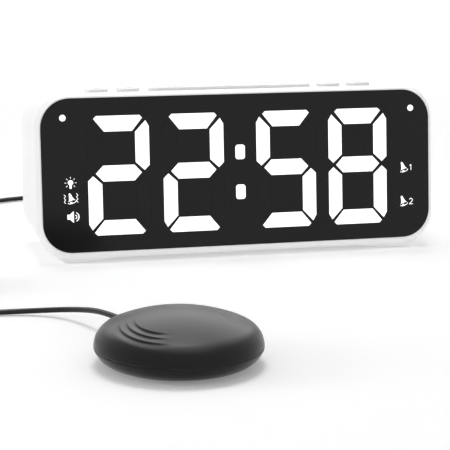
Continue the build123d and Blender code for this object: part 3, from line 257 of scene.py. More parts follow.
class Finish:
    """A surface that can be put on any piece; each kind says how its shader is built."""

    name: str

    def shader(self, tree: ShaderTree) -> Link:
        """Build the shader in a tree and return its output."""
        raise NotImplementedError

    def material(self) -> bpy.types.Material:
        """The finish as a material, made once.

        Returns:
            The material that carries this finish's name.
        """
        known = bpy.data.materials.get(self.name)
        if known is not None:
            return known
        made = bpy.data.materials.new(self.name)
        tree = ShaderTree(made)
        shader = self.shader(tree)
        tree.node("ShaderNodeOutputMaterial", None, {"Surface": shader})
        return made


@dataclass(frozen=True)
class MouldedPlastic(Finish):
    """Injection-moulded plastic: tone and gloss drift slowly, over the mould's fine eroded grain."""

    name: str
    colour: Triple
    drift: Triple
    roughness: float
    grain_depth: float = 0.006
    grain_pitch: float = 2.6
    specular: float = 0.5
    sheen: float = 0.0
    sheen_roughness: float = 0.35
    cloud_pitch: float = 0.035
    cloud_gloss: float = 0.08
    grain_gloss: float = 0.04

    def shader(self, tree: ShaderTree) -> Link:
        """Tone and roughness follow broad noise, and the bump follows fine noise."""
        place = tree.place()
        broad = tree.noise(place, self.cloud_pitch, 3.0)
        fine = tree.noise(place, self.grain_pitch)
        return tree.surface(
            {
                "Base Color": tree.blend(broad.above(0.3, 0.4), self.colour, self.drift),
                "Roughness": about(self.roughness, (fine, self.grain_gloss), (broad, self.cloud_gloss)),
                "Specular IOR Level": self.specular,
                "Sheen Weight": self.sheen,
                "Sheen Roughness": self.sheen_roughness,
                "Normal": tree.bump(fine, self.grain_depth),
            }
        )


@dataclass(frozen=True)
class TintedPanel(Finish):
    """Dark tinted window sheet with a faint haze in its gloss."""

    name: str = "tinted_panel"
    colour: Triple = (0.0068, 0.0068, 0.0070)
    deepening: float = 0.86
    roughness: float = 0.16
    specular: float = 0.2
    haze_pitch: float = 0.03
    haze_gloss: float = 0.05
    ripple_pitch: float = 0.9
    ripple_depth: float = 0.0015

    def shader(self, tree: ShaderTree) -> Link:
        """The tint deepens and the gloss softens a little with broad noise."""
        broad = tree.noise(tree.place(), self.haze_pitch, 3.0)
        fine = tree.noise(tree.place(), self.ripple_pitch)
        deep = tuple(level * self.deepening for level in self.colour)
        return tree.surface(
            {
                "Base Color": tree.blend(broad.above(0.35, 0.3), self.colour, deep),
                "Roughness": about(self.roughness, (broad, self.haze_gloss)),
                "Specular IOR Level": self.specular,
                "Normal": tree.bump(fine, self.ripple_depth),
            }
        )


@dataclass(frozen=True)
class LitWindow(Finish):
    """A bar or symbol lit from behind, with its light a touch uneven."""

    name: str = "lit_window"
    colour: Triple = (1.0, 1.0, 1.0)
    edge: Triple = (0.93, 0.97, 1.0)
    cover: Triple = (0.55, 0.55, 0.55)
    strength: float = 1.0
    roughness: float = 0.45
    specular: float = 0.3
    glow_pitch: float = 0.16

    def shader(self, tree: ShaderTree) -> Link:
        """The light drifts between two whites with soft noise; the cover is pale and hazy."""
        broad = tree.noise(tree.place(), self.glow_pitch, 1.0)
        return tree.surface(
            {
                "Base Color": solid(self.cover),
                "Roughness": about(self.roughness, (broad, 0.1)),
                "Specular IOR Level": self.specular,
                "Emission Color": tree.blend(broad.above(0.5, 0.3), self.colour, self.edge),
                "Emission Strength": self.strength,
            }
        )


@dataclass(frozen=True)
class Rubber(Finish):
    """Soft rubber: nearly matt, with a fine tooth and a faint bloom."""

    name: str
    colour: Triple
    bloom: Triple
    roughness: float
    tooth: float = 0.02
    specular: float = 0.4
    bloom_pitch: float = 0.09
    bloom_gloss: float = 0.06
    tooth_pitch: float = 3.1
    tooth_gloss: float = 0.08

    def shader(self, tree: ShaderTree) -> Link:
        """The bloom gathers in broad clouds and the tooth is a fine bump."""
        place = tree.place()
        broad = tree.noise(place, self.bloom_pitch, 4.0)
        fine = tree.noise(place, self.tooth_pitch)
        return tree.surface(
            {
                "Base Color": tree.blend(broad.above(0.45, 0.35), self.colour, self.bloom),
                "Roughness": about(self.roughness, (broad, self.bloom_gloss), (fine, self.tooth_gloss)),
                "Specular IOR Level": self.specular,
                "Normal": tree.bump(fine, self.tooth),
            }
        )


@dataclass(frozen=True)
class Metal(Finish):
    """Drawn or turned metal, with fine lines along one axis."""

    name: str
    colour: Triple
    dull: Triple
    roughness: float
    line: Triple = (0.08, 1.0, 1.0)
    line_pitch: float = 2.4
    line_depth: float = 0.01
    line_gloss: float = 0.16
    cloud_pitch: float = 0.12

    def shader(self, tree: ShaderTree) -> Link:
        """Lines are noise stretched along an axis; they bend the normal and spread the gloss."""
        lines = tree.noise(tree.place(self.line), self.line_pitch, 3.0)
        broad = tree.noise(tree.place(), self.cloud_pitch)
        return tree.surface(
            {
                "Base Color": tree.blend(broad.above(0.35, 0.4), self.colour, self.dull),
                "Metallic": 1.0,
                "Roughness": about(self.roughness, (lines, self.line_gloss)),
                "Normal": tree.bump(lines, self.line_depth),
            }
        )


@dataclass(frozen=True)
class CircuitBoard(Finish):
    """Green board: solder resist over copper tracks on a square grid."""

    name: str = "circuit_board"
    resist: Triple = (0.010, 0.115, 0.040)
    track: Triple = (0.020, 0.190, 0.070)
    pitch: float = 2.54
    track_width: float = 0.09
    run: float = 3.4
    row: float = 0.9
    copper: float = 0.03
    roughness: float = 0.42
    track_gloss: float = -0.1

    def shader(self, tree: ShaderTree) -> Link:
        """A brick pattern on the board's plane stands for the runs of track, broken up by noise."""
        place = tree.place()
        cells = tree.node(
            "ShaderNodeTexBrick",
            {"offset": 0.5, "squash": 1.0},
            {
                "Vector": place,
                "Color1": solid(grey(0.0)),
                "Color2": solid(grey(0.0)),
                "Mortar": solid(grey(1.0)),
                "Scale": 1.0 / self.pitch,
                "Mortar Size": self.track_width,
                "Brick Width": self.run,
                "Row Height": self.row,
            },
        )
        tracks = cells * tree.noise(place, 0.11).above(0.42, 0.08)
        return tree.surface(
            {
                "Base Color": tree.blend(tracks, self.resist, self.track),
                "Roughness": tracks * self.track_gloss + self.roughness,
                "Normal": tree.bump(tracks, self.copper),
            }
        )


@dataclass(frozen=True)
class SleevedCell(Finish):
    """Film sleeve of a round cell: a dark body and a paler band at one end, with no lettering."""

    name: str = "cell_sleeve"
    body: Triple = (0.035, 0.037, 0.042)
    band: Triple = (0.33, 0.17, 0.05)
    band_start: float = -40.5
    metallic: float = 0.35
    roughness: float = 0.32
    wrinkle_pitch: float = 0.7
    wrinkle: float = 0.02

    def shader(self, tree: ShaderTree) -> Link:
        """The band begins at a place along the cell, and faint noise wrinkles the film."""
        place = tree.place()
        along, _, _ = tree.axes(place)
        fine = tree.noise(place, self.wrinkle_pitch)
        return tree.surface(
            {
                "Base Color": tree.blend(along.above(self.band_start, 0.2), self.body, self.band),
                "Metallic": self.metallic,
                "Roughness": about(self.roughness, (fine, 0.12)),
                "Normal": tree.bump(fine, self.wrinkle),
            }
        )


@dataclass(frozen=True)
class PressedPaper(Finish):
    """The loudspeaker's cone: pressed paper with short fibres."""

    name: str = "pressed_paper"
    colour: Triple = (0.018, 0.018, 0.019)
    fibre: Triple = (0.05, 0.05, 0.052)
    roughness: float = 0.825
    fibre_pitch: float = 3.2
    fibre_depth: float = 0.06

    def shader(self, tree: ShaderTree) -> Link:
        """Fibres are sharp noise stretched across the cone."""
        fibres = tree.noise(tree.place((1.0, 1.0, 0.25)), self.fibre_pitch, 4.0, 0.7)
        return tree.surface(
            {
                "Base Color": tree.blend(fibres.above(0.55, 0.1), self.colour, self.fibre),
                "Roughness": about(self.roughness, (fibres, 0.15)),
                "Normal": tree.bump(fibres, self.fibre_depth),
            }
        )


@dataclass(frozen=True)
class InkedMark(Finish):
    """Thin pad-printed ink with a slightly ragged edge of tone; the same shader also paints the dark
    shade in the screw recesses.
    """

    name: str
    colour: Triple
    roughness: float = 0.5
    ink_pitch: float = 2.2
    thinning: float = 1.25

    def shader(self, tree: ShaderTree) -> Link:
        """The ink thins a little in fine noise."""
        fine = tree.noise(tree.place(), self.ink_pitch, 3.0)
        thin = tuple(level * self.thinning + 0.02 for level in self.colour)
        return tree.surface(
            {
                "Base Color": tree.blend(fine.above(0.5, 0.25), self.colour, thin),
                "Roughness": about(self.roughness, (fine, 0.1)),
            }
        )


CASE_WHITE = MouldedPlastic("case_white_plastic", grey(0.90), grey(0.875), 0.46)
DOOR_WHITE = MouldedPlastic("door_white_plastic", grey(0.895), grey(0.87), 0.48)
BUTTON_WHITE = MouldedPlastic("button_white_plastic", grey(0.89), grey(0.865), 0.42)
REFLECTOR_WHITE = MouldedPlastic("reflector_white_plastic", grey(0.82), grey(0.78), 0.55)
SWITCH_BLACK = MouldedPlastic("socket_black_plastic", grey(0.016), grey(0.022), 0.42, 0.01)
SHAKER_BLACK = MouldedPlastic(
    "shaker_black_plastic", grey(0.004), grey(0.005), 0.36, 0.010, 2.2, specular=0.18, sheen=0.25
)
CORD_BLACK = Rubber("cord_black_jacket", grey(0.003), grey(0.004), 0.34, tooth=0.002, specular=0.3)
BOOT_BLACK = Rubber("boot_black_rubber", grey(0.010), grey(0.014), 0.5, tooth=0.01)
FOOT_RUBBER = Rubber("foot_rubber", grey(0.030), grey(0.045), 0.82)
STEEL = Metal("plated_steel", grey(0.60), grey(0.52), 0.34)
BRASS = Metal("turned_brass", (0.58, 0.42, 0.17), (0.50, 0.36, 0.15), 0.32, (1.0, 0.08, 0.08))
FERRITE = MouldedPlastic("ferrite_magnet", grey(0.11), grey(0.14), 0.6, grain_depth=0.03)
MARK_GREY = InkedMark("printed_grey_mark", grey(0.33))
# recess_shadow is painted shade: a near-black ink that stands for the shade inside the case screws'
# cross recesses.
RECESS_PAINTED_SHADE = InkedMark("recess_shadow", grey(0.02))

CAD_FINISHES: dict[Finish, tuple[str, ...]] = {
    CASE_WHITE: ("front_bezel", "rear_shell"),
    DOOR_WHITE: ("battery_door",),
    BUTTON_WHITE: (
        "snooze_bar",
        "button_far_left",
        "button_near_left",
        "button_near_right",
        "button_far_right",
    ),
    TintedPanel(): ("display_panel", "unlit_bars"),
    LitWindow(): (
        "hour_tens_bars",
        "hour_units_bars",
        "minute_tens_bars",
        "minute_units_bars",
        "colon_dots",
        "indicator_dots",
    ),
    FOOT_RUBBER: ("rubber_pads", "shaker_foot_pad"),
    REFLECTOR_WHITE: ("reflector_block", "battery_tray", "led_chips"),
    CircuitBoard(): ("led_board", "button_board", "main_board"),
    SWITCH_BLACK: (
        "tact_switches",
        "shaker_socket",
        "usb_tongue",
        "mode_switch_body",
        "mode_switch_knob",
        "power_inlet",
        "motor_end_cap",
    ),
    STEEL: (
        "board_screws",
        "case_screws",
        "shaker_screws",
        "usb_socket",
        "battery_contacts",
        "power_inlet_pin",
        "shaker_plug_pin",
        "motor_shaft",
        "motor_clamp",
        "motor_can",
        "speaker_basket",
    ),
    FERRITE: ("speaker_magnet",),
    PressedPaper(): ("speaker_cone",),
    SleevedCell(): ("backup_cells",),
    BRASS: ("eccentric_weight",),
    SHAKER_BLACK: ("shaker_bottom_shell",),
    CORD_BLACK: ("cord_tie",),
}


@dataclass(frozen=True)
class Place:
    """A working plane. Millimetres across it, up it and out of it become metres in the frame."""

    origin: Triple
    across: Triple
    up: Triple

    def world(self, local: np.ndarray) -> np.ndarray:
        """Turn local points into points of the frame.

        Args:
            local: Points whose last axis is (across, up, out), in millimetres.

        Returns:
            The same points in metres: origin + a·across + b·up + c·(across × up).
        """
        across = np.array(self.across)
        up = np.array(self.up)
        basis = np.stack([across, up, np.cross(across, up)])
        return (np.array(self.origin) + local @ basis) * MM


@dataclass(frozen=True)
class Solid:
    """A closed surface: its points in metres and its faces."""

    points: np.ndarray
    faces: list[list[int]]


def tube(rings: np.ndarray, closed: bool = False) -> Solid:
    """Skin closed rings into a solid.

    Neighbouring rings are joined by four-sided faces. Each end gets a fan about its ring's middle,
    unless the last ring joins the first again.

    Args:
        rings: Points of shape (count, around, 3).
        closed: True where the tube runs back into its start.

    Returns:
        The solid.
    """
    count, around = rings.shape[:2]
    grid = np.arange(count * around).reshape(count, around)
    points = rings.reshape(-1, 3)
    after = np.roll(grid, -1, axis=0) if closed else grid[1:]
    here = grid if closed else grid[:-1]
    turned_here = np.roll(here, -1, axis=1)
    turned_after = np.roll(after, -1, axis=1)
    faces = np.stack([here, turned_here, turned_after, after], axis=-1).reshape(-1, 4).tolist()
    if not closed:
        middles = np.stack([rings[0].mean(axis=0), rings[-1].mean(axis=0)])
        points = np.concatenate([points, middles])
        for ring, middle in ((grid[0][::-1], count * around), (grid[-1], count * around + 1)):
            fan = np.stack([ring, np.roll(ring, -1), np.full(around, middle)], axis=-1)
            faces += fan.tolist()
    return Solid(points, faces)


def ribbon(place: Place, left: np.ndarray, right: np.ndarray, low: float, high: float) -> Solid:
    """A flat bar between two edges: each station is a rectangle from one edge to the other.

    Args:
        place: The plane that it lies on.
        left: One edge's points (count, 2), in millimetres.
        right: The other edge's points.
        low: Height of its underside over the plane.
        high: Height of its top.

    Returns:
        The solid.
    """
    corners = [
        np.column_stack([edge, np.full(len(edge), height)])
        for edge, height in ((left, low), (right, low), (right, high), (left, high))
    ]
    return tube(place.world(np.stack(corners, axis=1)))


def edges_of(line: np.ndarray, width: float) -> tuple[np.ndarray, np.ndarray]:
    """Both edges of a stroke: its middle line moved half a width along its normals.

    Args:
        line: The middle line's points (count, 2).
        width: The stroke's width.

    Returns:
        The left and the right edge.
    """
    way = np.gradient(line, axis=0)
    way = way / np.linalg.norm(way, axis=1, keepdims=True)
    normal = np.column_stack([-way[:, 1], way[:, 0]])
    return line + normal * width / 2, line - normal * width / 2


def arc(
    centre: Sequence[float], radius: float, start: float, end: float, count: int = 25
) -> np.ndarray:
    """Points on a circle: centre + radius·(cos, sin) of the angle.

    Args:
        centre: The circle's middle.
        radius: Its radius.
        start: The first angle, in degrees.
        end: The last one.
        count: How many points.

    Returns:
        The points (count, 2).
    """
    angles = np.radians(np.linspace(start, end, count))
    return np.column_stack([np.cos(angles), np.sin(angles)]) * radius + np.array(centre)


def straight(start: Sequence[float], end: Sequence[float], count: int = 2) -> np.ndarray:
    """Evenly spaced points from start to end."""
    share = np.linspace(0.0, 1.0, count)[:, None]
    return np.array(start) * (1 - share) + np.array(end) * share


def turned(points: np.ndarray, degrees: float, centre: Sequence[float]) -> np.ndarray:
    """Points turned about the origin by an angle, then moved to a centre."""
    angle = math.radians(degrees)
    matrix = np.array([[math.cos(angle), math.sin(angle)], [-math.sin(angle), math.cos(angle)]])
    return points @ matrix + np.array(centre)


def lathe(start: np.ndarray, way: np.ndarray, profile: np.ndarray, around: int = 48) -> Solid:
    """A turned solid: circles of the profile's radii, set along an axis.

    Args:
        start: The axis' first point, in millimetres.
        way: The axis' direction, of length 1.
        profile: Rows of (distance along, radius), in millimetres.
        around: Points on each circle.

    Returns:
        The solid.
    """
    side = np.cross(way, [0.0, 0.0, 1.0])
    side = side / np.linalg.norm(side)
    rise = np.cross(side, way)
    angle = np.linspace(0.0, 2 * math.pi, around, endpoint=False)
    circle = np.cos(angle)[:, None] * side + np.sin(angle)[:, None] * rise
    rings = start + profile[:, :1, None] * way + profile[:, 1:, None] * circle
    return tube(rings * MM)


def make_piece(
    name: str,
    solids: Sequence[Solid],
    finish: Finish,
    body: str,
    smooth_angle: float = 35.0,
) -> bpy.types.Object:
    """Join solids into one mesh object and hang it on a body.

    Args:
        name: The piece's name.
        solids: What it is made of.
        finish: Its surface.
        body: The CAD body that it rides on.
        smooth_angle: Faces that meet at less than this many degrees are shaded as one surface.

    Returns:
        The object, with its place in its mesh.
    """
    starts = np.cumsum([0, *(len(part.points) for part in solids)])
    points = np.concatenate([part.points for part in solids])
    faces = [
        [start + corner for corner in face] for start, part in zip(starts, solids) for face in part.faces
    ]
    mesh = bpy.data.meshes.new(name)
    mesh.from_pydata(points.tolist(), [], faces)
    work = bmesh.new()
    work.from_mesh(mesh)
    bmesh.ops.recalc_face_normals(work, faces=work.faces)
    work.to_mesh(mesh)
    work.free()
    mesh.polygons.foreach_set("use_smooth", np.ones(len(mesh.polygons), dtype=bool))
    mesh.set_sharp_from_angle(angle=math.radians(smooth_angle))
    mesh.materials.append(finish.material())
    piece = bpy.data.objects.new(name, mesh)
    bpy.context.scene.collection.objects.link(piece)
    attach(piece, body)
    LOG.info("%s: %d faces on %s", name, len(mesh.polygons), body)
    return piece


@dataclass(frozen=True)
class Layout:
    """Where the clock and the shaker stand, in millimetres of the shared frame."""

    clock: tuple[float, float] = (1.9, 73.55)
    shaker: tuple[float, float] = (-68.3, -98.05)
    lean: float = 6.0
    panel_width: float = 193.0
    panel_height: float = 73.0
    panel_bottom: float = 5.6
    top_margin: float = 2.2
    case_depth: float = 56.0
    boot_turn: float = 112.0
    boot_reach: float = 41.5
    boot_height: float = 8.6

    def face(self) -> Place:
        """The panel's front: across to the right, up its slope, out towards the reader."""
        lean = math.radians(self.lean)
        half = self.panel_height / 2
        origin = (
            self.clock[0],
            self.clock[1] + math.sin(lean) * half,
            self.panel_bottom + math.cos(lean) * half,
        )
        return Place(origin, (1.0, 0.0, 0.0), (0.0, math.sin(lean), math.cos(lean)))

    def top(self) -> Place:
        """The case's sloping top: across to the right, up towards the back, out upwards."""
        lean = math.radians(self.lean)
        rise = self.panel_height / 2 + self.top_margin
        face = np.array(self.face().origin) + np.array(self.face().up) * rise
        return Place(tuple(face.tolist()), (1.0, 0.0, 0.0), (0.0, math.cos(lean), -math.sin(lean)))

    def back(self) -> Place:
        """The case's back, seen from behind: across to the reader's left, up, out backwards."""
        return Place(
            (self.clock[0], self.clock[1] + self.case_depth, 0.0), (-1.0, 0.0, 0.0), (0.0, 0.0, 1.0)
        )

    def from_clock(self, points: Sequence[Triple]) -> np.ndarray:
        """Points given from the middle of the panel's lower edge, in the shared frame."""
        return np.array(points) + np.array([*self.clock, 0.0])

    def boot_way(self) -> np.ndarray:
        """The level direction in which the cord leaves the shaker."""
        turn = math.radians(self.boot_turn)
        return np.array([math.cos(turn), math.sin(turn), 0.0])


LAYOUT = Layout()
LAMP_NORTH = (0.0, 1.0, 0.001)


@dataclass
class Camera:
    """The photograph's viewpoint, solved from the panel's outline."""

    lens: float = 136.0
    sensor: float = 36.0
    position: Triple = (-0.20622, -0.70452, 0.18458)
    pitch: float = 11.869
    yaw: float = 14.387
    roll: float = 0.375

    def build(self) -> None:
        """Turn the camera down by its pitch, round by its yaw and over by its roll."""
        pitch, yaw, roll = (math.radians(angle) for angle in (self.pitch, self.yaw, self.roll))
        ahead = np.array([math.sin(yaw), math.cos(yaw), 0.0])
        right = np.array([math.cos(yaw), -math.sin(yaw), 0.0])
        up = np.array([0.0, 0.0, 1.0])
        view = ahead * math.cos(pitch) - up * math.sin(pitch)
        top = up * math.cos(pitch) + ahead * math.sin(pitch)
        side = right * math.cos(roll) + top * math.sin(roll)
        head = top * math.cos(roll) - right * math.sin(roll)
        turn = Matrix(np.column_stack([side, head, -view]).tolist()).to_4x4()
        data = bpy.data.cameras.new("photo_camera")
        data.lens = self.lens
        data.sensor_width = self.sensor
        made = bpy.data.objects.new("photo_camera", data)
        made.matrix_world = Matrix.Translation(self.position) @ turn
        bpy.context.scene.collection.objects.link(made)
        bpy.context.scene.camera = made
        LOG.info("camera with a %.0f mm lens", self.lens)


@dataclass(frozen=True)
class Softbox:
    """A square area lamp that looks at a point; gloss and diffuse say which rays it reaches."""

    name: str
    position: Triple
    target: Triple
    size: float
    power: float
    gloss: bool
    diffuse: bool = True

    def build(self) -> None:
        """Make the lamp and turn it to its target."""
        data = bpy.data.lights.new(self.name, "AREA")
        data.shape = "SQUARE"
        data.size = self.size
        data.energy = self.power
        made = bpy.data.objects.new(self.name, data)
        away = np.array(self.position) - np.array(self.target)
        away = away / np.linalg.norm(away)
        side = np.cross(LAMP_NORTH, away)
        side = side / np.linalg.norm(side)
        turn = Matrix(np.column_stack([side, np.cross(away, side), away]).tolist()).to_4x4()
        made.matrix_world = Matrix.Translation(self.position) @ turn
        made.visible_camera = False
        made.visible_glossy = self.gloss
        made.visible_diffuse = self.diffuse
        bpy.context.scene.collection.objects.link(made)


@dataclass(frozen=True)
class ShadowFloor(Finish):
    """A white table that keeps the object's soft shadow."""

    name: str = "white_table"
    colour: Triple = (0.975, 0.975, 0.977)
    lift: float = 0.175
    under_light: float = 0.2
    clear_from: float = 330.0
    clear_over: float = 420.0
    cloud_pitch: float = 0.002
    cloud_shade: float = 0.995
    roughness: float = 0.9

    def shader(self, tree: ShaderTree) -> Link:
        """A matt white round the object that turns into plain white further out.

        Camera, glossy and clear rays see the plain white past clear_from millimetres from the middle,
        so that the table meets the white behind it, and all other rays see the matt white everywhere.
        The table glows a little from below, as a photographer's light table does.
        """
        place = tree.place()
        broad = tree.noise(place, self.cloud_pitch)
        seen = seen_directly(tree)
        distance = tree.node("ShaderNodeVectorMath", {"operation": "LENGTH"}, {0: place}, "Value")
        far = distance.above(self.clear_from, self.clear_over) * seen
        near = tuple(level * self.cloud_shade for level in self.colour)
        surface = tree.surface(
            {
                "Base Color": tree.blend(broad.above(0.4, 0.2), self.colour, near),
                "Roughness": self.roughness,
                "Specular IOR Level": 0.0,
            }
        )
        strength = seen * (self.lift - self.under_light) + self.under_light
        glow = white_glow(tree, "ShaderNodeEmission", strength)
        shaded = tree.node("ShaderNodeAddShader", None, {0: surface, 1: glow})
        plain = white_glow(tree, "ShaderNodeEmission", 1.0)
        return tree.node("ShaderNodeMixShader", None, {0: far, 1: shaded, 2: plain})


def white_glow(tree: ShaderTree, kind: str, strength: Number) -> Link:
    """White light of this strength from an Emission or a Background node."""
    return tree.node(kind, None, {"Color": solid(grey(1.0)), "Strength": strength})


def seen_directly(tree: ShaderTree) -> Link:
    """1 for camera, glossy and transmission rays, 0 for the rest."""
    rays = tree.node("ShaderNodeLightPath").socket.node.outputs
    camera = Link(tree, rays["Is Camera Ray"])
    glossy = Link(tree, rays["Is Glossy Ray"])
    return camera.math("MAXIMUM", glossy).math("MAXIMUM", Link(tree, rays["Is Transmission Ray"]))


@dataclass
class Studio:
    """White table and background, soft sky, three softboxes, and two cards for gloss alone."""

    sky: float = 0.5
    floor_half: float = 6.0
    floor_drop: float = 0.0002
    boxes: tuple[Softbox, ...] = (
        Softbox("overhead_softbox", (0.0, 0.25, 1.5), (-0.02, 0.0, 0.0), 0.6, 7.0, True),
        Softbox("left_softbox", (-2.0, 0.2, 0.5), (0.0, 0.05, 0.03), 0.8, 11.5, False),
        Softbox("front_softbox", (0.3, -2.0, 0.2), (0.0, 0.0, 0.03), 1.0, 6.3, False),
        Softbox("rear_gloss_card", (0.45, 1.6, 2.1), (-0.05, -0.05, 0.02), 3.6, 86.0, True, False),
        Softbox("high_gloss_card", (0.15, -0.35, 2.1), (-0.07, -0.1, 0.02), 1.5, 20.0, True, False),
    )

    def build(self) -> None:
        """Make the floor, the world and the lamps, and set the plain view transform."""
        half = self.floor_half
        corners = [(-half, -half), (half, -half), (half, half), (-half, half)]
        mesh = bpy.data.meshes.new("table_top")
        mesh.from_pydata([(x, y, -self.floor_drop) for x, y in corners], [], [(0, 1, 2, 3)])
        mesh.materials.append(ShadowFloor().material())
        floor = bpy.data.objects.new("table_top", mesh)
        bpy.context.scene.collection.objects.link(floor)
        world = bpy.data.worlds.new("white_studio")
        tree = ShaderTree(world)
        seen = seen_directly(tree)
        strength = seen * (1.0 - self.sky) + self.sky
        glow = white_glow(tree, "ShaderNodeBackground", strength)
        tree.node("ShaderNodeOutputWorld", None, {"Surface": glow})
        bpy.context.scene.world = world
        for box in self.boxes:
            box.build()
        bpy.context.scene.view_settings.view_transform = "Standard"
        LOG.info("studio with %d lamps", len(self.boxes))


@dataclass
class ShakerCord:
    """The thin cord from the shaker to the clock's back, with its unseen length in a tied coil."""

    radius: float = 1.2
    lead: float = 12.0
    coil_centre: tuple[float, float] = (-150.1, 43.55)
    coil_outer: float = 18.4
    coil_pitch: float = 2.9
    coil_base: float = 2.3
    layer_turns: int = 3
    layers: int = 4
    turn_points: int = 16
    climb: float = 0.25
    curve_steps: int = 6
    round_steps: int = 3
    plug_place: float = -12.0
    plug_height: float = 14.4
    plug_end: float = 81.0
    length: float = 1.575
    to_coil: tuple[Triple, ...] = (
        (-94.4, -108.8, 6.4),
        (-100.8, -97.2, 4.0),
        (-110.0, -89.6, 2.2),
        (-122.2, -85.8, 1.4),
        (-136.6, -85.2, 1.3),
        (-151.0, -83.0, 1.4),
        (-162.6, -76.2, 1.6),
        (-169.4, -64.6, 2.0),
    )
    from_coil: tuple[Triple, ...] = (
        (-168.6, 4.0, 6.8),
        (-162.0, 36.0, 2.2),
        (-154.6, 62.0, 1.4),
        (-147.0, 88.0, 1.3),
        (-138.0, 113.6, 1.3),
        (-124.6, 138.6, 1.3),
        (-105.6, 156.8, 1.3),
        (-77.6, 165.8, 1.3),
        (-51.6, 166.4, 1.3),
        (-33.0, 157.0, 1.4),
        (-20.6, 143.0, 1.5),
        (-14.2, 126.0, 4.4),
    )

    def boot_tip(self) -> np.ndarray:
        """Where the cord leaves the shaker's boot."""
        middle = np.array([*LAYOUT.shaker, LAYOUT.boot_height])
        return middle + LAYOUT.boot_way() * LAYOUT.boot_reach

    def coil(self) -> np.ndarray:
        """Control points of the coil.

        The angle falls evenly. Layer after layer the radius falls and grows by the pitch in turn, and
        each layer lies a pitch higher, with the climb over a quarter turn each side of the change. The
        radius is divided by the cosine of half a step: the spline touches its polygon's sides.

        Returns:
            Points of shape (count, 3), in millimetres.
        """
        whole = self.layer_turns * self.layers
        turn = np.linspace(0.0, whole, whole * self.turn_points + 1)
        layer = np.minimum(turn // self.layer_turns, self.layers - 1)
        along = turn - layer * self.layer_turns
        inward = layer % 2 == 0
        drop = np.where(inward, along, self.layer_turns - along)
        radius = (self.coil_outer - self.coil_pitch * drop) / math.cos(math.pi / self.turn_points)
        change = np.round(turn / self.layer_turns)
        past = turn - change * self.layer_turns
        climbing = (np.abs(past) < self.climb) & (change > 0) & (change < self.layers)
        level = np.where(climbing, change - 0.5 + past / (2 * self.climb), layer)
        angle = math.pi - 2 * math.pi * turn
        x = self.coil_centre[0] + radius * np.cos(angle)
        y = self.coil_centre[1] + radius * np.sin(angle)
        return np.column_stack([x, y, self.coil_base + self.coil_pitch * level])

    def route(self) -> np.ndarray:
        """The whole cord's control points, from the boot round the coil to the plug."""
        coil = self.coil()
        tip = self.boot_tip()
        reach = 2 * self.radius
        ends = []
        for point, neighbour in ((coil[0], coil[1]), (coil[-1], coil[-2])):
            way = np.array([0.0, 1.0 if neighbour[1] > point[1] else -1.0, 0.0])
            ends.append([point - way * reach, point - way * (reach + self.lead)])
        plug = LAYOUT.from_clock([(self.plug_place, self.plug_end, self.plug_height)])[0]
        behind = plug + np.array([0.0, self.lead, 0.0])
        return np.concatenate(
            [
                [tip, tip + LAYOUT.boot_way() * self.lead],
                LAYOUT.from_clock(self.to_coil),
                [ends[0][1], ends[0][0]],
                coil,
                [ends[1][0], ends[1][1]],
                LAYOUT.from_clock(self.from_coil),
                [behind, plug],
            ]
        )

    def build(self, plug: bpy.types.Object) -> None:
        """Args:
            plug: The moulded plug on its far end; not used.
        """
        points = self.route() * MM
        data = bpy.data.curves.new("bed_shaker_cord", "CURVE")
        data.dimensions = "3D"
        data.resolution_u = self.curve_steps
        data.bevel_depth = self.radius * MM
        data.bevel_resolution = self.round_steps
        data.use_fill_caps = True
        spline = data.splines.new("NURBS")
        spline.points.add(len(points) - 1)
        spline.points.foreach_set("co", np.column_stack([points, np.ones(len(points))]).ravel())
        spline.order_u = 3
        spline.use_endpoint_u = True
        data.materials.append(CORD_BLACK.material())
        cord = bpy.data.objects.new("bed_shaker_cord", data)
        bpy.context.scene.collection.objects.link(cord)
        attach(cord, ROOT)
        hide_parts("shaker_cord", "cord_coil", "clock_cord")
        tuple((self.boot_tip() * MM).tolist())
        LOG.info("bed_shaker_cord: %d control points", len(points))


@dataclass
class CordPlug:
    """The moulded jack plug in the clock's back: a round grip with ribs and a slotted boot."""

    body_radius: float = 4.4
    body_length: float = 16.0
    edge: float = 0.8
    rib_start: float = 3.2
    rib_end: float = 13.6
    ribs: int = 6
    rib_depth: float = 0.38
    boot_root: float = 2.7
    boot_tip: float = 1.9
    boot_length: float = 9.0
    slots: int = 4
    slot_depth: float = 0.32
    gap: float = 0.02
    rib_steps: int = 24
    slot_steps: int = 20
    around: int = 56

    def profile(self) -> np.ndarray:
        """Rows of (distance, radius).

        The body is a rounded bar; between the ribs' ends its radius dips as the square of a sine. The
        boot narrows evenly and dips the same way at each slot.
        """
        bend = np.linspace(0.0, math.pi / 2, 7)
        inward = self.edge * (1 - np.sin(bend))
        near = np.column_stack([self.edge * (1 - np.cos(bend)), self.body_radius - inward])
        along = np.linspace(self.rib_start, self.rib_end, self.rib_steps * self.ribs + 1)
        share = (along - self.rib_start) / (self.rib_end - self.rib_start)
        dip = self.rib_depth * np.sin(math.pi * self.ribs * share) ** 2
        grip = np.column_stack([along, self.body_radius - dip])
        far = np.column_stack([self.body_length - near[::-1, 0], near[::-1, 1]])
        boot_share = np.linspace(0.0, 1.0, self.slot_steps * self.slots + 1)
        radius = self.boot_root + (self.boot_tip - self.boot_root) * boot_share
        slot = self.slot_depth * np.sin(math.pi * self.slots * boot_share) ** 4
        boot = np.column_stack([self.body_length + self.boot_length * boot_share, radius - slot])
        return np.concatenate([near, grip, far, boot])

    def build(self, cord: ShakerCord) -> bpy.types.Object:
        """Turn the plug about its socket's axis.

        Args:
            cord: The cord whose plug this is.

        Returns:
            The plug, which stands for the CAD plug.
        """
        behind = LAYOUT.case_depth + self.gap
        start = LAYOUT.from_clock([(cord.plug_place, behind, cord.plug_height)])[0]
        body = lathe(start, np.array([0.0, 1.0, 0.0]), self.profile(), self.around)
        plug = make_piece("shaker_plug_grip", [body], BOOT_BLACK, ROOT)
        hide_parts("shaker_plug")
        return plug


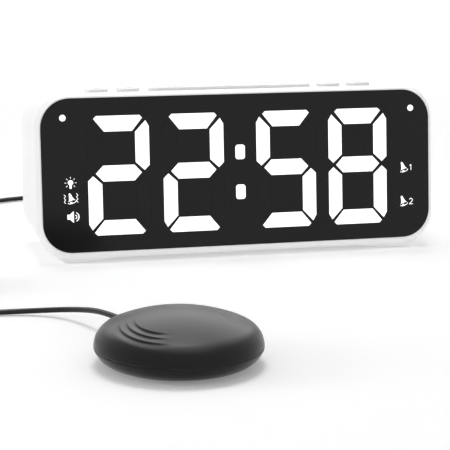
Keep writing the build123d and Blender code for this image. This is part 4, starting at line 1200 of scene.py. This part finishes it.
@dataclass
class StrainRelief:
    """The shaker's cord boot: a flange inside the wall, a tapered sleeve with ring slots outside."""

    flange_start: float = 26.9
    flange_end: float = 28.1
    flange_radius: float = 3.4
    wall_end: float = 32.6
    root: float = 2.35
    tip: float = 1.75
    slots: int = 3
    slot_depth: float = 0.28
    slot_steps: int = 24
    around: int = 40

    def build(self) -> None:
        """Turn the boot: even radii at the wall, then an even taper that dips at each slot."""
        share = np.linspace(0.0, 1.0, self.slot_steps * self.slots + 1)
        radius = self.root + (self.tip - self.root) * share
        slot = self.slot_depth * np.sin(math.pi * self.slots * share) ** 4
        along = self.wall_end + (LAYOUT.boot_reach - self.wall_end) * share
        sleeve = np.column_stack([along, radius - slot])
        wall = [
            (self.flange_start, self.flange_radius),
            (self.flange_end, self.flange_radius),
            (self.flange_end, self.root),
        ]
        middle = np.array([*LAYOUT.shaker, LAYOUT.boot_height])
        body = lathe(middle, LAYOUT.boot_way(), np.concatenate([wall, sleeve]), self.around)
        boot = make_piece("shaker_cord_boot", [body], BOOT_BLACK, ROOT)
        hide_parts("shaker_strain_relief")


@dataclass(frozen=True)
class FluteGroup:
    """Three crescents about one centre: the finger flutes on one side of the shaker's top."""

    centre: tuple[float, float]
    radius: float
    turn: float
    sweep: float
    depth: float
    wall: float = 0.75
    rise: float = 2.5
    pitch: float = 2.9
    count: int = 3
    fading: float = 0.75

    def sink(self, x: np.ndarray, y: np.ndarray) -> np.ndarray:
        """How far the flutes lower the surface.

        At each circle the surface drops within the wall's width and comes back over the rise, both as
        smooth steps. The whole fades to nothing at the ends of the sweep.

        Args:
            x: Millimetres from the shaker's axis.
            y: The same, towards the clock.

        Returns:
            The depth at each point, in millimetres.
        """
        away_x = x - self.centre[0]
        away_y = y - self.centre[1]
        distance = np.hypot(away_x, away_y)
        angle = np.degrees(np.arctan2(away_y, away_x)) - self.turn
        angle = np.abs((angle + 180.0) % 360.0 - 180.0)
        fade = smooth_step(1.0 - angle / self.sweep, 0.0, self.fading)
        total = np.zeros_like(x)
        for step in range(self.count):
            past = distance - (self.radius - step * self.pitch) + self.wall
            drop = smooth_step(past, 0.0, self.wall)
            back = 1.0 - smooth_step(past, self.wall, self.wall + self.rise)
            total += drop * back
        return total * fade * self.depth


def smooth_step(value: np.ndarray, low: float, high: float) -> np.ndarray:
    """0 below low, 1 above high, and 3t² − 2t³ between."""
    share = np.clip((value - low) / (high - low), 0.0, 1.0)
    return share * share * (3.0 - 2.0 * share)


@dataclass
class ShakerDome:
    """The shaker's top shell: a wide crown, a tight shoulder and the finger flutes."""

    radius: float = 32.5
    seam: float = 7.4
    dome: float = 13.85
    shoulder: float = 9.0
    wall: float = 1.8
    seam_bevel: float = 0.3
    around: int = 420
    flutes: tuple[FluteGroup, ...] = (
        FluteGroup((-2.5, -5.8), 21.8, 208.0, 51.0, 0.56),
        FluteGroup((-0.8, -12.4), 24.7, 42.0, 43.0, 0.44),
    )
    post_ring: float = 20.0
    post_radius: float = 3.0
    post_bore: float = 1.1
    post_sag: float = 80.0
    posts: int = 3
    outer_steps: tuple[int, int] = (118, 34)
    inner_steps: tuple[int, int] = (20, 8)
    sharp_angle: float = 50.0

    def section(self, inset: float, crown_steps: int, shoulder_steps: int) -> np.ndarray:
        """Rows of (radius, height, tilt) from near the axis to the seam.

        On the crown a point is centre + R·(sin, cos) of its tilt. Past the tilt at which both arcs
        touch, it lies on the shoulder's arc about a centre one shoulder radius inside the rim.

        Args:
            inset: How far inside the outer surface it lies.
            crown_steps: Stations on the crown.
            shoulder_steps: Stations on the shoulder.

        Returns:
            The section.
        """
        span = self.radius - self.shoulder
        crown = (span**2 + self.dome**2 - self.shoulder**2) / (2 * (self.dome - self.shoulder))
        centre = self.seam + self.dome - crown
        meet = math.atan2(span, self.seam - centre)
        tilt = np.linspace(meet / crown_steps, meet, crown_steps)
        wide = np.column_stack(
            [(crown - inset) * np.sin(tilt), centre + (crown - inset) * np.cos(tilt), tilt]
        )
        tilt = np.linspace(meet, math.pi / 2, shoulder_steps + 1)[1:]
        tight = np.column_stack(
            [
                span + (self.shoulder - inset) * np.sin(tilt),
                self.seam + (self.shoulder - inset) * np.cos(tilt),
                tilt,
            ]
        )
        return np.concatenate([wide, tight])

    def rings(self, section: np.ndarray, fluted: bool) -> np.ndarray:
        """Circles of a section about the shaker's axis, lowered along their normals by the flutes.

        Args:
            section: Rows of (radius, height, tilt).
            fluted: Whether the flutes are cut.

        Returns:
            Points of shape (stations, around, 3), in millimetres.
        """
        angle = np.linspace(0.0, 2 * math.pi, self.around, endpoint=False)
        radius, height, tilt = (column[:, None] for column in section.T)
        x = radius * np.cos(angle)
        y = radius * np.sin(angle)
        sink = sum(group.sink(x, y) for group in self.flutes) if fluted else np.zeros_like(x)
        level = radius - sink * np.sin(tilt)
        x = LAYOUT.shaker[0] + level * np.cos(angle)
        y = LAYOUT.shaker[1] + level * np.sin(angle)
        return np.stack([x, y, height - sink * np.cos(tilt)], axis=-1)

    def build(self) -> None:
        """Close the outer and the inner surface at the seam, and add the screw posts inside."""
        outer = self.section(0.0, *self.outer_steps)
        outer[-1] = (self.radius - self.seam_bevel, self.seam, math.pi / 2)
        outer[-2, 1] = self.seam + self.seam_bevel
        inner = self.section(self.wall, *self.inner_steps)[::-1]
        shell = np.concatenate([self.rings(outer, True), self.rings(inner, False)])
        solids = [tube(shell * MM)]
        angles = np.radians(90.0 + 360.0 * np.arange(self.posts) / self.posts)
        top = self.seam + self.dome - self.wall - self.post_ring**2 / (2 * self.post_sag)
        for angle in angles:
            foot = np.array(
                [
                    LAYOUT.shaker[0] + self.post_ring * math.cos(angle),
                    LAYOUT.shaker[1] + self.post_ring * math.sin(angle),
                    self.seam,
                ]
            )
            solids.append(upright_pipe(foot, top - self.seam, self.post_bore, self.post_radius))
        dome = make_piece("shaker_dome", solids, SHAKER_BLACK, ROOT, self.sharp_angle)
        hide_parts("shaker_top_shell")


def upright_pipe(
    foot: np.ndarray, height: float, inside: float, outside: float, around: int = 40
) -> Solid:
    """A short upright pipe: its four-cornered section carried round a circle.

    Args:
        foot: The middle of its lower end, in millimetres.
        height: How tall it is.
        inside: Bore radius.
        outside: Outer radius.
        around: How many stations the circle has.

    Returns:
        The solid, as a closed ring.
    """
    angle = np.linspace(0.0, 2 * math.pi, around, endpoint=False)
    spoke = np.column_stack([np.cos(angle), np.sin(angle), np.zeros_like(angle)])
    rise = np.array([0.0, 0.0, height])
    corners = [foot + spoke * inside, foot + spoke * outside]
    corners += [foot + spoke * outside + rise, foot + spoke * inside + rise]
    return tube(np.stack(corners, axis=1) * MM, closed=True)


class Glyph(Enum):
    """The plain digits beside the alarm symbols."""

    ONE = "1"
    TWO = "2"


@dataclass
class SymbolMaker:
    """Draws small flat symbols on a plane, each as ribbons of one thickness."""

    place: Place
    low: float
    high: float
    solids: list[Solid] = field(default_factory=list)

    def stroke(self, line: np.ndarray, width: float) -> None:
        """Add a stroke of even width along a line."""
        self.band(*edges_of(line, width))

    def band(self, left: np.ndarray, right: np.ndarray) -> None:
        """Add the area between two edges."""
        self.solids.append(ribbon(self.place, left, right, self.low, self.high))

    def cross(self, centre: Sequence[float], half: float, width: float) -> None:
        """Add a level stroke and an upright one through a centre."""
        self.level_stroke(centre, half, width)
        self.upright_stroke(centre, half, width)

    def level_stroke(self, centre: Sequence[float], half: float, width: float) -> None:
        """Add a stroke that reaches this far to both sides of a centre."""
        across, level = centre
        self.stroke(straight((across - half, level), (across + half, level)), width)

    def upright_stroke(self, centre: Sequence[float], half: float, width: float) -> None:
        """Add a stroke that reaches this far up and down from a centre."""
        across, level = centre
        self.stroke(straight((across, level - half), (across, level + half)), width)

    def disc(self, centre: Sequence[float], radius: float) -> None:
        """Add a disc: chords of a circle, from its left end to its right."""
        angle = np.linspace(0.0, math.pi, 25)[1:-1]
        upper = np.column_stack([-np.cos(angle), np.sin(angle)]) * radius + np.array(centre)
        lower = np.column_stack([-np.cos(angle), -np.sin(angle)]) * radius + np.array(centre)
        self.band(upper, lower)

    def ring(self, centre: Sequence[float], radius: float, width: float) -> None:
        """Add a ring of even width."""
        self.stroke(arc(centre, radius, 0.0, 359.9, 49), width)

    def bulb(self, centre: Sequence[float]) -> None:
        """A light bulb: a round head that narrows into a neck, with seven short rays.

        The half width is √(r² − v²) on the head, turns smoothly into the neck's, and rounds off at
        the neck's end.
        """
        head, neck, neck_half, end = 1.26, 2.85, 0.52, 0.4
        down = np.linspace(-head * 0.995, neck * 0.995, 45)
        round_half = np.sqrt(np.clip(head**2 - down**2, 0.0, None))
        neck_share = smooth_step(down, 0.2, 1.9)
        cap = np.sqrt(np.clip(1.0 - (np.clip(down - (neck - end), 0.0, None) / end) ** 2, 0.0, None))
        half = (round_half * (1 - neck_share) + neck_half * neck_share) * cap + 0.02
        half = np.maximum(half, np.where(down > 0.2, neck_half * cap, 0.0) + 0.02)
        rows = np.column_stack([np.zeros_like(down), -down]) + np.array(centre)
        side = np.column_stack([half, np.zeros_like(half)])
        self.band(rows - side, rows + side)
        for turn in (0.0, 45.0, -45.0, 90.0, -90.0, 132.0, -132.0):
            ray = turned(straight((0.0, 2.0), (0.0, 2.85)), -turn, centre)
            self.stroke(ray, 0.24)

    def bell(self, centre: Sequence[float], height: float, mouth: float, lean: float) -> None:
        """A bell leaning to one side: a slender flaring body, an open oval mouth and its clapper.

        The body's half width is a rounded crown that grows evenly and then as the fourth power of the
        distance down. It ends in a skirt that runs down to the upper half of the mouth's oval, whose
        lower half is the rim.

        Args:
            centre: The bell's middle.
            height: From its crown to the middle of its mouth.
            mouth: The mouth's width.
            lean: Degrees by which the mouth swings to the right.
        """
        level = -0.395 * height
        deep = 0.185 * mouth
        down = np.linspace(0.005, 1.0 - deep / height, 30)
        crown = np.sqrt(1.0 - (1.0 - down / 0.12).clip(0.0, None) ** 2)
        half = mouth * (0.105 * crown + 0.19 * down + 0.21 * down**4)
        rows = level + height * (1.0 - down)
        left = turned(np.column_stack([-half, rows]), lean, centre)
        right = turned(np.column_stack([half, rows]), lean, centre)
        self.band(left, right)
        angle = np.linspace(math.pi, 0.0, 25)
        oval = np.column_stack([np.cos(angle) * mouth / 2, np.sin(angle) * deep])
        top = np.column_stack([np.cos(angle) * half[-1], np.full_like(angle, level + deep + 0.12)])
        self.band(turned(top, lean, centre), turned(oval + (0.0, level), lean, centre))
        self.stroke(turned(oval * (1.0, -1.0) + (0.0, level), lean, centre), 0.3)
        clapper = np.array([[-mouth * 0.12, level - deep * 0.35]])
        self.disc(turned(clapper, lean, centre)[0], mouth * 0.13)

    def tremble(self, centre: Sequence[float], height: float) -> None:
        """A short zigzag beside the bell, for its shaking."""
        steps = np.linspace(0.5, -0.5, 6)
        sway = np.array([-1.0, 1.0, -1.0, 1.0, -1.0, 1.0]) * 0.38
        line = np.column_stack([sway, steps * height]) + np.array(centre)
        for start, end in zip(line, line[1:]):
            self.stroke(straight(start, end), 0.27)

    def speaker(self, centre: Sequence[float]) -> None:
        """A loudspeaker: a square back, a widening cone and two sound waves."""
        across = np.array([-2.8, -1.62, 0.3])
        half = np.array([1.16, 1.16, 2.8])
        middle = np.array(centre)
        upper = np.column_stack([across, half]) + middle
        lower = np.column_stack([across, -half]) + middle
        self.band(upper, lower)
        self.stroke(arc(middle + (0.9, 0.0), 0.83, -80.0, 80.0), 0.36)
        self.stroke(arc(middle + (0.55, 0.0), 2.2, -65.0, 65.0), 0.42)

    def digit(self, glyph: Glyph, centre: Sequence[float], height: float, width: float) -> None:
        """A plain digit in even strokes.

        Args:
            glyph: Which digit.
            centre: Its middle.
            height: How tall it is.
            width: The strokes' width.
        """
        middle = np.array(centre)
        half = height / 2
        foot = -half + width / 2
        if glyph is Glyph.ONE:
            self.stroke(straight((0.15, -half), (0.15, half)) + middle, width)
            self.stroke(straight((-0.55, half - 0.75), (0.15, half - width / 2)) + middle, width)
        else:
            bow = 0.78
            top = arc((0.0, half - bow), bow, 165.0, -38.0)
            leg = straight(top[-1], (-0.82, foot), 6)[1:]
            self.stroke(np.concatenate([top, leg]) + middle, width)
            self.stroke(straight((-0.95, foot), (0.98, foot)) + middle, width)


@dataclass
class PanelSymbols:
    """The lit symbols at both ends of the numeral panel, in millimetres from its top left corner."""

    proud: float = 0.05
    sunk: float = -0.06
    bulb: tuple[float, float] = (13.55, 39.7)
    shaking_bell: tuple[float, float] = (13.6, 47.1)
    speaker: tuple[float, float] = (14.4, 55.9)
    first_bell: tuple[float, float] = (179.7, 38.2)
    second_bell: tuple[float, float] = (179.5, 55.0)
    first_digit: tuple[float, float] = (183.65, 38.4)
    second_digit: tuple[float, float] = (183.7, 55.4)
    bell_height: float = 4.3
    digit_height: float = 2.9
    digit_stroke: float = 0.31
    tremble_reach: float = 2.95

    def at(self, spot: tuple[float, float]) -> tuple[float, float]:
        """A place from the panel's top left corner, given from its middle."""
        return (spot[0] - LAYOUT.panel_width / 2, LAYOUT.panel_height / 2 - spot[1])

    def maker(self) -> SymbolMaker:
        """A fresh symbol maker on the panel's front."""
        return SymbolMaker(LAYOUT.face(), self.sunk, self.proud)

    def build(self) -> None:
        """Make each symbol as a piece of its own."""
        lit = LitWindow()
        lamp = self.maker()
        lamp.bulb(self.at(self.bulb))
        shaking = self.maker()
        bell = self.at(self.shaking_bell)
        shaking.bell(bell, self.bell_height, 4.0, 17.0)
        for side in (-1.0, 1.0):
            beside = (bell[0] + side * self.tremble_reach, bell[1] + side * 0.2)
            shaking.tremble(beside, self.bell_height)
        sound = self.maker()
        sound.speaker(self.at(self.speaker))
        symbols = {"light_symbol": lamp, "shaking_bell_symbol": shaking, "sound_symbol": sound}
        alarms = (
            ("first_alarm_symbol", self.first_bell, self.first_digit, Glyph.ONE),
            ("second_alarm_symbol", self.second_bell, self.second_digit, Glyph.TWO),
        )
        for name, spot, digit, glyph in alarms:
            alarm = self.maker()
            alarm.bell(self.at(spot), self.bell_height, 3.9, 19.0)
            alarm.digit(glyph, self.at(digit), self.digit_height, self.digit_stroke)
            symbols[name] = alarm
        for name, drawn in symbols.items():
            make_piece(name, drawn.solids, lit, ROOT)


@dataclass
class ButtonMarks:
    """Printed marks on the five top buttons, each riding on its own cap."""

    rise: float = 1.6
    middle: float = 18.8
    near: float = 50.7
    far: float = 66.2
    ink: float = 0.04
    sign_half: float = 1.9
    sign_width: float = 0.5
    dial_width: float = 0.4
    first_ray: float = 24.0
    ray_pitch: float = 3.2
    ray_half: float = 2.2
    rays: int = 3

    def maker(self) -> SymbolMaker:
        """A fresh symbol maker on the caps' tops."""
        return SymbolMaker(LAYOUT.top(), self.rise - self.ink, self.rise + self.ink)

    def build(self) -> None:
        """Draw a moon and rays on the snooze bar, and a bell, a dial, a minus and a plus beside it."""
        moon = self.maker()
        outer = arc((0.0, self.middle), 2.1, 60.0, 300.0)
        inner = arc((0.9, self.middle), 1.75, 72.0, 288.0)
        moon.band(outer, inner)
        for side in (-1.0, 1.0):
            for step in range(self.rays):
                reach = self.first_ray + self.ray_pitch * step
                moon.upright_stroke((side * reach, self.middle), self.ray_half, self.sign_width)
        bell = self.maker()
        bell.bell((-self.far, self.middle), 3.8, 3.6, 0.0)
        dial = self.maker()
        hub = (-self.near, self.middle)
        dial.ring(hub, self.sign_half, self.dial_width)
        dial.stroke(straight((hub[0], hub[1] + 1.3), hub), self.dial_width)
        dial.stroke(straight(hub, (hub[0] + 1.0, hub[1] - 0.5)), self.dial_width)
        minus = self.maker()
        minus.level_stroke((self.near, self.middle), self.sign_half, self.sign_width)
        plus = self.maker()
        plus.cross((self.far, self.middle), self.sign_half, self.sign_width)
        marks = {
            "snooze_mark": (moon, "snooze_cap"),
            "alarm_mark": (bell, "far_left_cap"),
            "time_mark": (dial, "near_left_cap"),
            "minus_mark": (minus, "near_right_cap"),
            "plus_mark": (plus, "far_right_cap"),
        }
        for name, (drawn, body) in marks.items():
            make_piece(name, drawn.solids, MARK_GREY, body)


@dataclass
class BackDetails:
    """Marks and fittings of the clock's back: socket symbols, painted shade in the screw recesses, door
    grip.
    """

    ink: float = 0.04
    line: float = 0.35
    mark_height: float = 22.6
    shaker_socket: float = -12.0
    usb: float = 6.0
    selector: float = 24.0
    inlet: float = 38.0
    post_reach: float = 92.2
    post_heights: tuple[float, float] = (20.6, 60.6)
    screw_sink: float = 3.0
    screw_head: float = 1.8
    cross_half: float = 1.2
    cross_width: float = 0.5
    door: tuple[float, float] = (-58.0, 37.0)
    door_sink: float = 0.2
    rib_half: float = 6.0
    rib_width: float = 0.55
    rib_pitch: float = 1.3
    ribs: int = 4

    def maker(self, depth: float = 0.0) -> SymbolMaker:
        """A fresh symbol maker this deep in the back; its across runs to the viewer's right."""
        return SymbolMaker(LAYOUT.back(), -depth - self.ink, -depth + self.ink)

    def socket_marks(self) -> None:
        """Small generic symbols over the sockets."""
        marks = self.maker()
        level = self.mark_height
        shaker = (-self.shaker_socket, level)
        marks.ring(shaker, 0.9, self.line)
        for side in (0.0, 180.0):
            marks.stroke(arc(shaker, 1.9, side - 40.0, side + 40.0), self.line)
        marks.level_stroke((-self.usb, level), 1.8, self.line)
        marks.disc((-self.usb - 1.9, level), 0.45)
        for side in (0.7, -0.7):
            barb = straight((-self.usb + 1.2, level + side), (-self.usb + 1.9, level))
            marks.stroke(barb, self.line)
        for step in (-1, 0, 1):
            marks.disc((-self.selector + step * 2.5, level - 1.4), 0.3 + 0.12 * (step + 1))
        marks.ring((-self.inlet, level), 1.0, self.line)
        marks.disc((-self.inlet, level), 0.42)
        make_piece("socket_marks", marks.solids, MARK_GREY, ROOT)

    def screw_recess_shade(self) -> None:
        """A dark flat cross on each case screw's head, at the bottom of its counterbore: painted shade
        standing for the cross recess.
        """
        cross = self.maker(self.screw_sink - self.screw_head)
        for side in (-1, 1):
            for height in self.post_heights:
                spot = (side * self.post_reach, height)
                cross.cross(spot, self.cross_half, self.cross_width)
        make_piece("case_screw_recess_shade", cross.solids, RECESS_PAINTED_SHADE, ROOT)

    def door_grip(self) -> None:
        """Raised ribs and an arrow near the door's upper edge, riding on the door."""
        grip = SymbolMaker(LAYOUT.back(), -self.door_sink - 0.05, -self.door_sink + 0.35)
        across, middle = -self.door[0], self.door[1]
        for step in range(self.ribs):
            level = middle + 4.2 + step * self.rib_pitch
            grip.level_stroke((across, level), self.rib_half, self.rib_width)
        rows = straight((across, middle + 1.6), (across, middle - 1.6), 8)
        half = np.linspace(2.2, 0.05, 8)[:, None] * np.array([[1.0, 0.0]])
        grip.band(rows - half, rows + half)
        make_piece("door_grip_ribs", grip.solids, DOOR_WHITE, "cell_door")

    def build(self) -> None:
        """Make every detail of the back."""
        self.socket_marks()
        self.screw_recess_shade()
        self.door_grip()


def dress_cad_nodes() -> None:
    """Give each carried-over CAD node its finish."""
    for finish, names in CAD_FINISHES.items():
        material = finish.material()
        for name in names:
            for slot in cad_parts[name].material_slots:
                slot.material = material
        LOG.info("%s on %d nodes", finish.name, len(names))


def main() -> None:
    """Build the scene in order."""
    logging.basicConfig(level=logging.INFO, format="%(name)s %(message)s")
    Camera().build()
    Studio().build()
    cord = ShakerCord()
    plug = CordPlug().build(cord)
    cord.build(plug)
    StrainRelief().build()
    ShakerDome().build()
    dress_cad_nodes()
    PanelSymbols().build()
    ButtonMarks().build()
    BackDetails().build()


if __name__ == "__main__":
    main()
